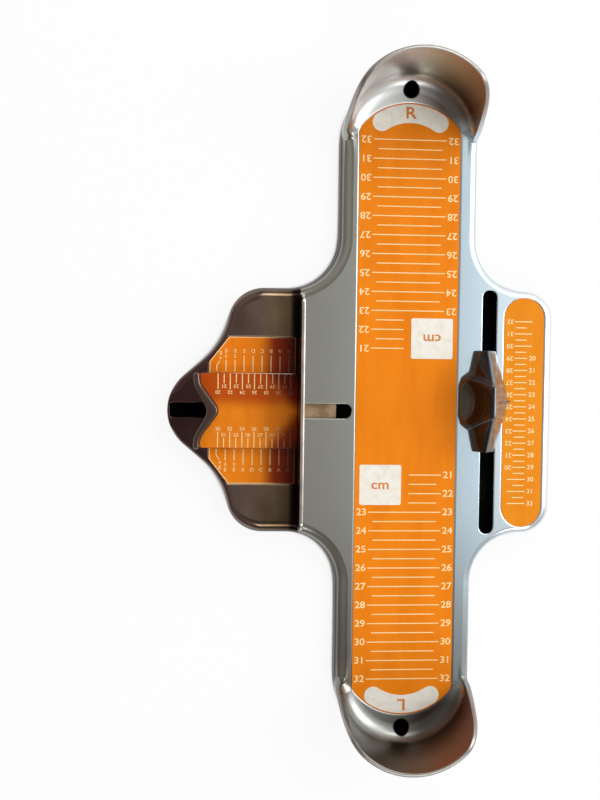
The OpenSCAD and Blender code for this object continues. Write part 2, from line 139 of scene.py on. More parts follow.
def add_node(
    tree: Tree,
    kind: str,
    settings: dict[str, Any] | None = None,
    inputs: dict[str | int, Any] | None = None,
) -> bpy.types.Node:
    """Adds a node with its settings, input values and links.

    Args:
        tree: The node tree to add to.
        kind: The node's type name.
        settings: Attributes of the node itself.
        inputs: Its inputs, as set_inputs takes them.

    Returns:
        The new node.
    """
    node = tree.nodes.new(kind)
    for name, value in (settings or {}).items():
        setattr(node, name, value)
    set_inputs(tree, node, inputs or {})
    return node


def split(tree: Tree, vector: Socket) -> Axes:
    """Splits a vector into its parts."""
    node = add_node(tree, "ShaderNodeSeparateXYZ", inputs={"Vector": vector})
    return {name: node.outputs[name] for name in "XYZ"}


def ramp(tree: Tree, factor: Socket, stops: dict[float, str]) -> Socket:
    """Colours a factor through a ramp of hex colours.

    Args:
        tree: The node tree to add to.
        factor: The socket that drives the ramp.
        stops: Places from 0 to 1 with their colours, in rising order.

    Returns:
        The ramp's colour socket.
    """
    node = add_node(tree, "ShaderNodeValToRGB", inputs={"Fac": factor})
    elements = node.color_ramp.elements
    while len(elements) < len(stops):
        elements.new(0.5)
    for element, (place, colour) in zip(elements, stops.items()):
        element.position = place
        element.color = linear(colour)
    return node.outputs["Color"]


def mixed(
    tree: Tree,
    factor: Socket | float,
    first: Socket | str,
    second: Socket | str,
    blend: str = "MIX",
) -> Socket:
    """Mixes two colours, each a socket or hex digits, and returns the result's socket."""
    below, above = (linear(c) if isinstance(c, str) else c for c in (first, second))
    settings = {"data_type": "RGBA", "blend_type": blend}
    inputs = {"Factor": factor, 6: below, 7: above}
    return add_node(tree, "ShaderNodeMix", settings, inputs).outputs[2]


def spread(
    tree: Tree,
    value: Socket,
    low: float,
    high: float,
    to_low: float = 0.0,
    to_high: float = 1.0,
) -> Socket:
    """Maps a value's range smoothly onto another one and returns the result's socket."""
    node = add_node(
        tree,
        "ShaderNodeMapRange",
        {"interpolation_type": "SMOOTHSTEP"},
        {"Value": value, "From Min": low, "From Max": high, "To Min": to_low, "To Max": to_high},
    )
    return node.outputs["Result"]


def maths(tree: Tree, operation: str, first: Any, second: Any = 0.0) -> Socket:
    """Adds one step of arithmetic and returns its result's socket."""
    node = add_node(tree, "ShaderNodeMath", {"operation": operation}, {0: first, 1: second})
    return node.outputs[0]


def times(tree: Tree, first: Any, second: Any) -> Socket:
    """Multiplies two values."""
    return maths(tree, "MULTIPLY", first, second)


@dataclass(frozen=True)
class Finish:
    """What all finishes share: a name and a material with a Principled shader.

    In each of them, a place along an axis is a real one in the piece's own frame.
    """

    name: str

    def start(self) -> tuple[bpy.types.Material, Tree, bpy.types.Node]:
        """Makes the material and returns it with its tree and its shader."""
        material = bpy.data.materials.new(self.name)
        material.use_nodes = True
        tree = material.node_tree
        return material, tree, tree.nodes["Principled BSDF"]

    def noise(
        self,
        tree: Tree,
        size: float,
        stretch: tuple[float, float, float] = (1, 1, 1),
        detail: float = 2.0,
    ) -> Socket:
        """Adds a noise on Object coordinates.

        Args:
            tree: The node tree to add to.
            size: Width of one blotch, in metres.
            stretch: How much longer a blotch is along each axis.
            detail: The noise's detail.

        Returns:
            The noise's value, from 0 to 1.
        """
        coordinates = add_node(tree, "ShaderNodeTexCoord")
        scale = Vector([1 / (size * s) for s in stretch])
        inputs = {"Vector": coordinates.outputs["Object"], "Scale": scale}
        placed = add_node(tree, "ShaderNodeMapping", inputs=inputs)
        inputs = {"Vector": placed.outputs["Vector"], "Scale": 1.0, "Detail": detail}
        return add_node(tree, "ShaderNodeTexNoise", inputs=inputs).outputs["Fac"]

    def axes(self, tree: Tree) -> Axes:
        """The three Object coordinates as sockets X, Y and Z."""
        return split(tree, add_node(tree, "ShaderNodeTexCoord").outputs["Object"])

    def roughen(self, tree: Tree, shader: bpy.types.Node, height: Socket, depth: float) -> None:
        """Gives the shader a bump.

        Args:
            tree: The node tree to add to.
            shader: The Principled shader.
            height: The bump's height, from 0 to 1.
            depth: The bump's real depth, in metres.
        """
        inputs = {"Height": height, "Distance": depth, "Strength": 1.0}
        bump = add_node(tree, "ShaderNodeBump", inputs=inputs)
        set_inputs(tree, shader, {"Normal": bump.outputs["Normal"]})


@dataclass(frozen=True)
class PolishedCasting(Finish):
    """Sand-cast aluminium, belt-ground along the bed and polished, then handled for years.

    The grinding leaves fine streaks along the bed. Handling leaves a thin brown film, thickest
    where no foot rubs it off, so the wing and the cups are darker than the bed. Part of that
    darkness, in the cups and beside the fence, is painted shade.
    """

    sheen: float = 1.0  # how much of it is bare metal, and not film
    streak: tuple[float, float, float] = (1.0, 14.0, 1.0)
    grain: float = 0.4 * MM  # real grinding marks are finer and would not show
    grain_depth: float = 0.0025 * MM
    roughness: tuple[float, float] = (0.17, 0.27)

    def tone(self, tree: Tree, axes: Axes) -> Socket:
        """The metal's colour over the piece, before its streaks."""
        raise NotImplementedError

    def blur(self, tree: Tree, axes: Axes) -> Socket | float:
        """How much rougher than elsewhere the piece is from place to place."""
        return 0.0

    def make(self) -> bpy.types.Material:
        """Makes the material."""
        material, tree, shader = self.start()
        grain = self.noise(tree, self.grain, self.streak, detail=3.0)
        dirt = self.noise(tree, 14 * MM, detail=5.0)
        axes = self.axes(tree)
        colour = self.tone(tree, axes)
        streaked = mixed(tree, times(tree, grain, 0.1), colour, "2C2826")
        worn = times(tree, maths(tree, "ADD", grain, dirt), 0.5)
        gloss = spread(tree, worn, 0.3, 0.7, *self.roughness)
        rough = maths(tree, "ADD", gloss, self.blur(tree, axes))
        inputs = {"Base Color": streaked, "Metallic": self.sheen, "Roughness": rough}
        set_inputs(tree, shader, inputs)
        self.roughen(tree, shader, grain, self.grain_depth)
        return material


@dataclass(frozen=True)
class BedCasting(PolishedCasting):
    """The base casting's aluminium: painted light by the arch scale, brown on the wing, in the
    cups.
    """

    wing_edge: float = -56.4 * MM
    cup_start: float = 144 * MM
    cup_blend: float = 14 * MM  # over how far the bed's looks turn into the cups'
    hole_y: float = 169.65 * MM
    heel_y: float = 142.75 * MM

    def deck(self, tree: Tree, axes: Axes) -> Socket:
        """Painted light on the right, painted shade at the lower end and by the fence, the wing's
        brown film.
        """
        across = spread(tree, axes["X"], self.wing_edge, 76 * MM)
        # lighter and bluer towards the right: a painted reflection of the bright side of the room
        metal = ramp(
            tree,
            across,
            {0.0: "AAAAA2", 0.34: "B4B5AE", 0.6: "C6D2D8", 0.8: "D2E4EE", 1.0: "E6ECF0"},
        )
        # darker towards the lower end: a painted shade
        low = spread(tree, axes["Y"], -40 * MM, -150 * MM)
        dull = mixed(tree, times(tree, low, 0.7), metal, "7F7A72")
        film = self.noise(tree, 22 * MM, (1.0, 1.8, 1.0), detail=4.0)
        patchy = ramp(tree, film, {0.25: "8E7E78", 0.5: "B4A49E", 0.75: "D0C4BC"})
        along = spread(tree, axes["X"], -122 * MM, -58 * MM)
        # the wing's brown film; its last stops, dark by the fence, are a painted shadow of the
        # fence
        film_and_fence_shade = ramp(
            tree,
            along,
            {0.0: "7E6668", 0.25: "806E6C", 0.45: "A89C98", 0.7: "B4A8A0"}
            | {0.9: "AEA284", 0.985: "8A7C66", 0.9945: "2A221C"},
        )
        wing = mixed(tree, 1.0, patchy, film_and_fence_shade, "MULTIPLY")
        on_wing = spread(tree, axes["X"], self.wing_edge, self.wing_edge - 1 * MM)
        worked = mixed(tree, on_wing, dull, wing)
        # dark on the skirt and the underside: their skin as cast, and on the bed's edge also a
        # painted shade
        return mixed(tree, self.unground(tree, axes), worked, "4A4642")

    def unground(self, tree: Tree, axes: Axes) -> Socket:
        """1 on the skirt and the underside, 0 on the bed."""
        return spread(tree, axes["Z"], 10.4 * MM, 7.9 * MM)

    def normal(self, tree: Tree) -> Axes:
        """The surface's normal as sockets X, Y and Z."""
        return split(tree, add_node(tree, "ShaderNodeNewGeometry").outputs["Normal"])

    def cups(self, tree: Tree, axes: Axes) -> Socket:
        """The heel cups: a floor ring, a brown wall and a rim rubbed bright, in painted light and
        shade.
        """
        across = spread(tree, axes["X"], -36 * MM, 37 * MM)
        # light on the left and dark on the right: painted light and shade over the walls' brown
        upper = ramp(
            tree,
            across,
            {0.0: "D8D8D2", 0.35: "FFFFFF", 0.6: "E0E0CC", 0.85: "C0AC8A", 1.0: "9A6840"},
        )
        # the lower cup darker all over: a painted shade
        lower = ramp(
            tree,
            across,
            {0.0: "4E4B44", 0.3: "6C6458", 0.6: "806C5A", 0.8: "8A664C", 1.0: "8A5A44"},
        )
        is_upper = spread(tree, axes["Y"], -1 * MM, 1 * MM)
        wall = mixed(tree, is_upper, lower, upper)
        # the floors: a painted highlight on the left, painted shade on the right
        upper_floor_light_and_shade = ramp(tree, across, {0.0: "F8F8F6", 0.5: "D6D6D4", 0.8: "827B76", 1.0: "6A625A"})
        grey = ramp(tree, across, {0.0: "B4B6B0", 0.3: "989892", 0.7: "5A5753"})
        floor = mixed(tree, is_upper, grey, upper_floor_light_and_shade)
        walled = mixed(tree, spread(tree, axes["Z"], 12.5 * MM, 24 * MM), floor, wall)
        normal = self.normal(tree)
        above = spread(tree, axes["Z"], 20 * MM, 24 * MM)
        on_rim = times(tree, above, spread(tree, normal["Z"], 0.25, 0.6))
        lengthways = maths(tree, "SUBTRACT", maths(tree, "ABSOLUTE", axes["Y"]), self.heel_y)
        end = maths(tree, "SIGN", axes["Y"])
        across_part = times(tree, normal["X"], axes["X"])
        along_part = times(tree, times(tree, normal["Y"], end), lengthways)
        outwards = spread(tree, maths(tree, "ADD", across_part, along_part), 2 * MM, 6 * MM)
        walled = mixed(tree, outwards, walled, "A8A6A2")
        rubbed = mixed(tree, on_rim, walled, "A6A19B")
        # the hole and its broken edge painted near black: a painted shade
        return mixed(tree, self.round_hole(tree, axes), rubbed, "181412")

    def round_hole(self, tree: Tree, axes: Axes) -> Socket:
        """1 in a heel hole and on its broken edge, painted near black as shade, and 0 outside."""
        along = maths(tree, "SUBTRACT", maths(tree, "ABSOLUTE", axes["Y"]), self.hole_y)
        squares = [times(tree, v, v) for v in (axes["X"], along)]
        away = maths(tree, "SQRT", maths(tree, "ADD", *squares))
        return spread(tree, away, 4.9 * MM, 4.0 * MM)

    def blur(self, tree: Tree, axes: Axes) -> Socket:
        """The cups are out of the buffing wheel's reach, and grease shines on the wing."""
        reach = maths(tree, "ABSOLUTE", axes["Y"])
        dull = spread(tree, reach, self.cup_start, self.cup_start + self.cup_blend, 0.0, 0.12)
        glossy = spread(tree, axes["X"], self.wing_edge, self.wing_edge - 3 * MM, 0.0, 0.07)
        skin = times(tree, self.unground(tree, axes), 0.18)
        return maths(tree, "ADD", maths(tree, "SUBTRACT", dull, glossy), skin)

    def tone(self, tree: Tree, axes: Axes) -> Socket:
        """The bed's colour, and the cups' beyond where they start."""
        reach = maths(tree, "ABSOLUTE", axes["Y"])
        in_cup = spread(tree, reach, self.cup_start, self.cup_start + self.cup_blend)
        return mixed(tree, in_cup, self.deck(tree, axes), self.cups(tree, axes))


@dataclass(frozen=True)
class BarCasting(PolishedCasting):
    """The width bar's aluminium: a brown finger pull and a fence painted black outside as shade.
    """

    bare: str = "F6F0EA"

    def tone(self, tree: Tree, axes: Axes) -> Socket:
        """Brown at the pull, painted black shade on the fence's outer face, bare on its edges."""
        bare = mixed(tree, self.noise(tree, 9 * MM, detail=4.0), self.bare, "8E8B88")
        # darker brown at the finger pull
        at_pull = spread(tree, axes["X"], -90 * MM, -96 * MM)
        handled = mixed(tree, at_pull, bare, "6E5C54")
        # the fence's outer face, near black: a painted shade
        outside = times(
            tree,
            spread(tree, axes["X"], -57.6 * MM, -57.9 * MM),
            spread(tree, axes["X"], -62 * MM, -59 * MM),
        )
        below_top = spread(tree, axes["Z"], 36.6 * MM, 36.1 * MM)
        face = times(tree, outside, below_top)
        # this noise only varies the painted shade's tone
        film = self.noise(tree, 12 * MM, (1.0, 2.0, 1.0), detail=4.0)
        dark = ramp(tree, film, {0.3: "120F0E", 0.55: "1E1816", 0.8: "3C302A"})
        return mixed(tree, face, handled, dark)


@dataclass(frozen=True)
class SliderCasting(PolishedCasting):
    """The arch slider's aluminium: painted shade and dirt in the bowl and on its front, painted
    light on its bare back.
    """

    ridge_x: float = 41.6 * MM

    def tone(self, tree: Tree, axes: Axes) -> Socket:
        """Dark to the left of the ridge and light to its right: painted shade and painted light.
        """
        patches = self.noise(tree, 5 * MM, detail=4.0)
        # the front and the bowl: a painted shade, with lighter dirt patches
        height = spread(tree, axes["Z"], 15 * MM, 36 * MM)
        stops = {0.0: "5C5348", 0.1: "1C191A", 0.5: "242226", 0.85: "3C3638"}
        wall = ramp(tree, height, stops)
        grime_and_front_shade = mixed(tree, spread(tree, patches, 0.45, 0.75, 0.0, 0.4), wall, "4C494E")
        # the back: painted light
        bare = ramp(tree, patches, {0.35: "8E9AA2", 0.6: "7C868C", 0.8: "62686C"})
        back = spread(tree, axes["X"], self.ridge_x - 0.8 * MM, self.ridge_x + 0.5 * MM)
        return mixed(tree, back, grime_and_front_shade, bare)


@dataclass(frozen=True)
class ScaleEnamel(Finish):
    """Stove enamel screen-printed on sheet metal: flat colour, satin, a little orange peel."""

    colour: str
    deep: str
    roughness: float = 0.38
    specular: float = 0.12
    peel_depth: float = 0.012 * MM

    def tint(self, tree: Tree, axes: Axes) -> Socket:
        """The enamel's colour, with faint clouds where the coat is thicker."""
        clouds = self.noise(tree, 16 * MM, (0.6, 2.0, 1.0), detail=4.0)
        return mixed(tree, spread(tree, clouds, 0.35, 0.75), self.colour, self.deep)

    def make(self) -> bpy.types.Material:
        """Makes the material."""
        material, tree, shader = self.start()
        tint = self.tint(tree, self.axes(tree))
        specks = self.noise(tree, 0.5 * MM, detail=1.0)
        speckled = mixed(tree, spread(tree, specks, 0.66, 0.8, 0.0, 0.25), tint, self.deep)
        rub = self.noise(tree, 5 * MM, (1.0, 3.0, 1.0), detail=5.0)
        rough = spread(tree, rub, 0.3, 0.7, self.roughness - 0.08, self.roughness + 0.1)
        inputs = {"Base Color": speckled, "Specular IOR Level": self.specular, "Roughness": rough}
        set_inputs(tree, shader, inputs)
        self.roughen(tree, shader, self.noise(tree, 0.9 * MM, detail=1.0), self.peel_depth)
        return material


@dataclass(frozen=True)
class WingEnamel(ScaleEnamel):
    """Enamel beside the fence, darkened there by a painted shadow of the fence."""

    fence_foot: float = -58 * MM
    wedge: float = 0.0  # how much longer the unshaded strip along the middle is, per metre of reach

    def tint(self, tree: Tree, axes: Axes) -> Socket:
        """Plain at the wing's tip, then a painted shadow, red-brown and nearly black towards the
        fence.
        """
        colour = super().tint(tree, axes)
        reach = times(tree, maths(tree, "ABSOLUTE", axes["Y"]), self.wedge)
        along = maths(tree, "ADD", axes["X"], reach)
        # the painted shadow of the fence
        fence_shadow = spread(tree, along, self.fence_foot - 21 * MM, self.fence_foot - 11 * MM)
        dark = spread(tree, along, self.fence_foot - 12 * MM, self.fence_foot + 1 * MM)
        shadow_brown = mixed(tree, dark, "8E2C08", "3A0E04")
        return mixed(tree, fence_shadow, colour, shadow_brown)


@dataclass(frozen=True)
class TongueEnamel(WingEnamel):
    """The tongue's enamel: the same painted fence shadow, shorter along the middle, and a redder
    half.
    """

    wedge: float = 0.8
    shorter: float = 16 * MM  # how much nearer to the fence it starts

    def tint(self, tree: Tree, axes: Axes) -> Socket:
        """Redder in the upper half: a painted reflection."""
        moved = axes | {"X": maths(tree, "SUBTRACT", axes["X"], self.shorter)}
        # the redder upper half: a painted reflection
        upper = spread(tree, axes["Y"], -1 * MM, 8 * MM)
        tint = super().tint(tree, moved)
        return mixed(tree, times(tree, upper, 0.7), tint, "B24A10", "MULTIPLY")


@dataclass(frozen=True)
class FilledMark(Finish):
    """Enamel lines and letters on a plate: satin, a little uneven in tone."""

    colour: str = "FFE2A6"
    worn: str = "FCD68E"

    def tint(self, tree: Tree) -> Socket:
        """The enamel's colour, with soft thin places."""
        wear = self.noise(tree, 4 * MM, detail=2.0)
        return mixed(tree, spread(tree, wear, 0.4, 0.8), self.colour, self.worn)

    def make(self) -> bpy.types.Material:
        """Makes the material."""
        material, tree, shader = self.start()
        inputs = {"Base Color": self.tint(tree), "Roughness": 0.5, "Specular IOR Level": 0.2}
        set_inputs(tree, shader, inputs)
        self.roughen(tree, shader, self.noise(tree, 0.9 * MM, detail=1.0), 0.01 * MM)
        return material


@dataclass(frozen=True)
class WingMark(FilledMark):
    """Marks on the wing and the tongue, darkened towards the fence by the same painted shadow."""

    clean_x: float = -77 * MM
    fence_foot: float = -62 * MM

    def tint(self, tree: Tree) -> Socket:
        """Cream, then brown towards the fence: a painted shadow."""
        # the painted shadow of the fence on the marks
        fence_shadow = spread(tree, self.axes(tree)["X"], self.clean_x, self.fence_foot)
        factor = times(tree, fence_shadow, 0.92)
        return mixed(tree, factor, super().tint(tree), "6E2C14")


@dataclass(frozen=True)
class SteelSheet(Finish):
    """Rolled steel with a dull film: fine rolling streaks along one way."""

    colour: str
    film: str
    roughness: float = 0.42

    def make(self) -> bpy.types.Material:
        """Makes the material."""
        material, tree, shader = self.start()
        rolled = self.noise(tree, 0.5 * MM, (10.0, 1.0, 1.0), detail=2.0)
        patches = self.noise(tree, 6 * MM, detail=5.0)
        tint = mixed(tree, spread(tree, patches, 0.35, 0.7), self.colour, self.film)
        streaked = mixed(tree, times(tree, rolled, 0.3), tint, "1E1B19")
        rough = spread(tree, rolled, 0.2, 0.8, self.roughness - 0.08, self.roughness + 0.12)
        set_inputs(tree, shader, {"Base Color": streaked, "Metallic": 1.0, "Roughness": rough})
        self.roughen(tree, shader, rolled, 0.01 * MM)
        return material


@dataclass(frozen=True)
class PalePaper(Finish):
    """The matt white floor. Under the part it falls to the dark that the shadow leaves."""

    def make(self) -> bpy.types.Material:
        """Makes the material."""
        material, tree, shader = self.start()
        reach = {"Distance": 30 * MM}
        covered = add_node(tree, "ShaderNodeAmbientOcclusion", {"samples": 48}, reach)
        shade = spread(tree, covered.outputs["AO"], 0.45, 0.58)
        paper = mixed(tree, shade, "0A0A0A", "F4F4F4")
        inputs = {"Base Color": paper, "Roughness": 0.9, "Specular IOR Level": 0.1}
        set_inputs(tree, shader, inputs)
        path = add_node(tree, "ShaderNodeLightPath").outputs
        white = {"Color": linear(WHITE), "Strength": 1.0}
        glow = add_node(tree, "ShaderNodeEmission", inputs=white)
        seen = maths(tree, "MAXIMUM", path["Is Camera Ray"], path["Is Glossy Ray"])
        amount = times(tree, times(tree, seen, 0.9), shade)
        inputs = {0: amount, 1: shader.outputs["BSDF"], 2: glow.outputs["Emission"]}
        both = add_node(tree, "ShaderNodeMixShader", inputs=inputs)
        set_inputs(tree, tree.nodes["Material Output"], {"Surface": both.outputs["Shader"]})
        return material


# ---------------------------------------------------------------- outlines and mesh helpers


@dataclass(frozen=True)
class Station:
    """A point on an outline with the way that points outwards there."""

    place: Vector
    out: Vector


def left_of(way: Vector) -> Vector:
    """The way a quarter turn to the left of another."""
    return Vector((-way.y, way.x))


def in_metres(corners: list[Corner]) -> list[Corner]:
    """Turns corners in millimetres into metres."""
    return [(x * MM, y * MM, r * MM) for x, y, r in corners]


def circle(radius: float, count: int) -> list[tuple[float, float]]:
    """Points round a circle about the origin, anticlockwise."""
    turns = [math.tau * k / count for k in range(count)]
    return [(radius * math.cos(t), radius * math.sin(t)) for t in turns]


def quarter(steps: int) -> list[float]:
    """Angles from 0 to a quarter turn."""
    return [math.pi / 2 * k / steps for k in range(steps + 1)]


def smooth_step(value: float, low: float, high: float) -> float:
    """Rises smoothly from 0 at low to 1 at high, also where low is the larger."""
    t = min(1.0, max(0.0, (value - low) / (high - low)))
    return t * t * (3 - 2 * t)


def stations(
    corners: list[Corner], grow: float = 0.0, arc_step: float = 6.0, run_step: float = 12 * MM
) -> list[Station]:
    """Walks anticlockwise round a corner list with rounded corners.

    Args:
        corners: Each corner as x, y and its radius.
        grow: How far outside the outline to walk. The number of stations is the same for any.
        arc_step: Degrees between stations on an arc.
        run_step: Largest distance between stations on a straight run.

    Returns:
        The stations, in order.
    """
    arcs: list[list[Station]] = []
    for i, (x, y, radius) in enumerate(corners):
        here = Vector((x, y))
        way_in = (here - Vector(corners[i - 1][:2])).normalized()
        way_out = (Vector(corners[(i + 1) % len(corners)][:2]) - here).normalized()
        turn = math.atan2(way_in.x * way_out.y - way_in.y * way_out.x, way_in.dot(way_out))
        side = math.copysign(1.0, turn)
        if radius == 0:
            out = -(left_of(way_in) + left_of(way_out)).normalized()
            arcs.append([Station(here + out * grow / math.cos(turn / 2), out)])
            continue
        start = here - way_in * radius * math.tan(abs(turn) / 2)
        centre = start + side * radius * left_of(way_in)
        steps = max(2, math.ceil(math.degrees(abs(turn)) / arc_step))
        arc = []
        for k in range(steps + 1):
            spoke = -side * left_of(way_in)
            spoke.rotate(Matrix.Rotation(turn * k / steps, 2))
            arc.append(Station(centre + spoke * (radius + side * grow), side * spoke))
        arcs.append(arc)
    walked = []
    for i, arc in enumerate(arcs):
        following = arcs[(i + 1) % len(arcs)][0]
        walked += arc
        run = following.place - arc[-1].place
        steps = round(run.length / run_step)
        out = -left_of(run.normalized()) if run.length > 1e-7 else arc[-1].out
        walked += [Station(arc[-1].place + run * k / steps, out) for k in range(1, steps)]
        if run.length < 1e-6:
            walked.pop()
    return walked


def level(walked: list[Station], height: float) -> Places:
    """Lifts stations to one height."""
    return [Vector((s.place.x, s.place.y, height)) for s in walked]


def new_loop(mesh: BMesh, places: Places) -> Loop:
    """Starts a closed loop of vertices and edges."""
    loop = [mesh.verts.new(p) for p in places]
    for i, vertex in enumerate(loop):
        mesh.edges.new((loop[i - 1], vertex))
    return loop


def loop_edges(mesh: BMesh, loop: Loop) -> list[bmesh.types.BMEdge]:
    """The edges round a closed loop."""
    return [mesh.edges.get((loop[i - 1], vertex)) for i, vertex in enumerate(loop)]


def extrude_loop(mesh: BMesh, loop: Loop, places: Places) -> Loop:
    """Extrudes a closed loop and sets its new vertices down at the given places.

    Args:
        mesh: The mesh that holds the loop.
        loop: The loop's vertices in order.
        places: Where each of them goes, in the same order.

    Returns:
        The new loop, in the same order.
    """
    made = bmesh.ops.extrude_edge_only(mesh, edges=loop_edges(mesh, loop))
    order = {vertex: i for i, vertex in enumerate(loop)}
    moved: dict[int, Vert] = {}
    for vertex in (g for g in made["geom"] if isinstance(g, Vert)):
        beside = (e.other_vert(vertex) for e in vertex.link_edges)
        i = next(order[v] for v in beside if v in order)
        vertex.co = places[i]
        moved[i] = vertex
    return [moved[i] for i in range(len(loop))]


def fill(mesh: BMesh, *loops: Loop) -> None:
    """Fills the flat area between loops."""
    edges = [e for loop in loops for e in loop_edges(mesh, loop)]
    bmesh.ops.triangle_fill(mesh, use_beauty=True, use_dissolve=False, edges=edges)


def solid_of_loops(levels: list[Places]) -> BMesh:
    """Stacks loops of equal count into a closed solid, flat at both ends."""
    mesh = bmesh.new()
    first = loop = new_loop(mesh, levels[0])
    for places in levels[1:]:
        loop = extrude_loop(mesh, loop, places)
    fill(mesh, first)
    fill(mesh, loop)
    bmesh.ops.recalc_face_normals(mesh, faces=mesh.faces)
    return mesh


def piece_of(mesh: BMesh, name: str) -> Piece:
    """Turns a bmesh into an object at the origin."""
    data = bpy.data.meshes.new(name)
    mesh.to_mesh(data)
    mesh.free()
    piece = bpy.data.objects.new(name, data)
    bpy.context.scene.collection.objects.link(piece)
    return piece


def prism(corners: list[Corner], low: float, high: float, name: str) -> Piece:
    """An upright prism on an outline."""
    walked = stations(corners)
    return piece_of(solid_of_loops([level(walked, low), level(walked, high)]), name)


def settle(piece: Piece) -> None:
    """Applies a piece's modifiers to its mesh."""
    graph = bpy.context.evaluated_depsgraph_get()
    made = bpy.data.meshes.new_from_object(piece.evaluated_get(graph))
    old = piece.data
    piece.modifiers.clear()
    piece.data = made
    bpy.data.meshes.remove(old)


def combine(piece: Piece, tool: Piece, operation: str) -> None:
    """Joins another solid to a piece or cuts it away, and removes that solid."""
    cut = piece.modifiers.new("combine", "BOOLEAN")
    cut.operation = operation
    cut.solver = "EXACT"
    cut.object = tool
    settle(piece)
    bpy.data.objects.remove(tool)


def shade(piece: Piece, crease: float = 32.0) -> None:
    """Shades a piece smooth up to an angle, with its large faces kept flat.

    Args:
        piece: The piece.
        crease: Edges that turn more than this stay sharp, in degrees.
    """
    piece.data.shade_smooth()
    piece.data.set_sharp_from_angle(angle=math.radians(crease))
    weighted = piece.modifiers.new("weighted", "WEIGHTED_NORMAL")
    weighted.keep_sharp = True
    weighted.weight = 100


def dress(piece: Piece, material: bpy.types.Material) -> None:
    """Gives a piece one material."""
    piece.data.materials.clear()
    piece.data.materials.append(material)


def dress_node(frame: dict[str, Any], node: str, material: bpy.types.Material) -> None:
    """Gives a carried-over CAD node a better material."""
    piece = frame["nodes"][node]
    for material_slot in piece.material_slots:
        material_slot.material = material
    if not piece.material_slots:
        piece.data.materials.append(material)


# ---------------------------------------------------------------- the device's outlines


@dataclass(frozen=True)
class Layout:
    """The device's plan, shared by its sub-assemblies. Corner lists run anticlockwise."""

    bed_z: float = 12 * MM
    wall: float = 3 * MM
    heel_r: float = 36.5 * MM
    stop_y: float = 176.25 * MM
    slot_r: float = 3.8 * MM
    plate_gap: float = 0.2 * MM
    mark_z: float = 11.7 * MM
    mark_t: float = 0.08 * MM

    @property
    def under_z(self) -> float:
        """Height of the casting's underside."""
        return self.bed_z - self.wall

    @property
    def heel_y(self) -> float:
        """Where the heel cups' axes stand."""
        return self.stop_y - (self.heel_r - self.wall)

    @property
    def end_y(self) -> float:
        """How far the bed's round ends reach."""
        return self.heel_y + self.heel_r

    def both_ways(self, upper: list[Corner]) -> list[Corner]:
        """Completes an outline that is its own mirror image in Y. Corners are in millimetres."""
        lower = [(x, -y, r) for x, y, r in reversed(upper) if y > 0]
        return in_metres(upper + lower)

    def outline(self) -> list[Corner]:
        """The casting's outline."""
        heel, end = self.heel_r / MM, self.end_y / MM
        return self.both_ways(
            [
                (79, 65, 15),
                (heel, 65, 27),
                (heel, end, heel),
                (-heel, end, heel),
                (-heel, 65, 27),
                (-90.8, 65, 19),
                (-98.6, 34.6, 38),
                (-139.8, 0, 24),
            ]
        )

    def length_field(self) -> list[Corner]:
        """The length plate's outline."""
        half, corner, end = 27.0, 5.0, 33.0
        end_y = self.stop_y / MM - 13.25 - end
        turn = math.asin((half - corner) / (end - corner))
        peak = end_y + end / math.cos(turn)
        side = peak - half * math.tan(turn)
        return self.both_ways([(half, side, corner), (0, peak, end), (-half, side, corner)])

    def arch_field(self) -> list[Corner]:
        """The arch plate's outline."""
        return self.both_ways([(74.1, 61.5, 10.8), (52.5, 61.5, 10.8)])

    def arch_slot(self) -> list[Corner]:
        """The arch slot's outline."""
        r = self.slot_r / MM
        return self.both_ways([(44.4 + r, 65.3, r), (44.4 - r, 65.3, r)])

    def wing_slot(self) -> list[Corner]:
        """The width slot's outline."""
        r = self.slot_r / MM
        return self.both_ways([(-29.2, r, r), (-125, r, 1.5)])

    def letter_field(self, side: int) -> list[Corner]:
        """A letter plate's outline.

        Args:
            side: 1 for the upper half, -1 for the lower.

        Returns:
            Its corners, anticlockwise.
        """
        inner = self.slot_r / MM + 2.2
        corners = [
            (-59.2, 38.8, 0.6),
            (-94.4, 38.8, 0),
            (-104.7, 25.6, 0),
            (-104.7, inner, 0.6),
            (-59.2, inner, 0.6),
        ]
        placed = in_metres([(x, side * y, r) for x, y, r in corners])
        return placed if side > 0 else placed[::-1]


# ---------------------------------------------------------------- base casting


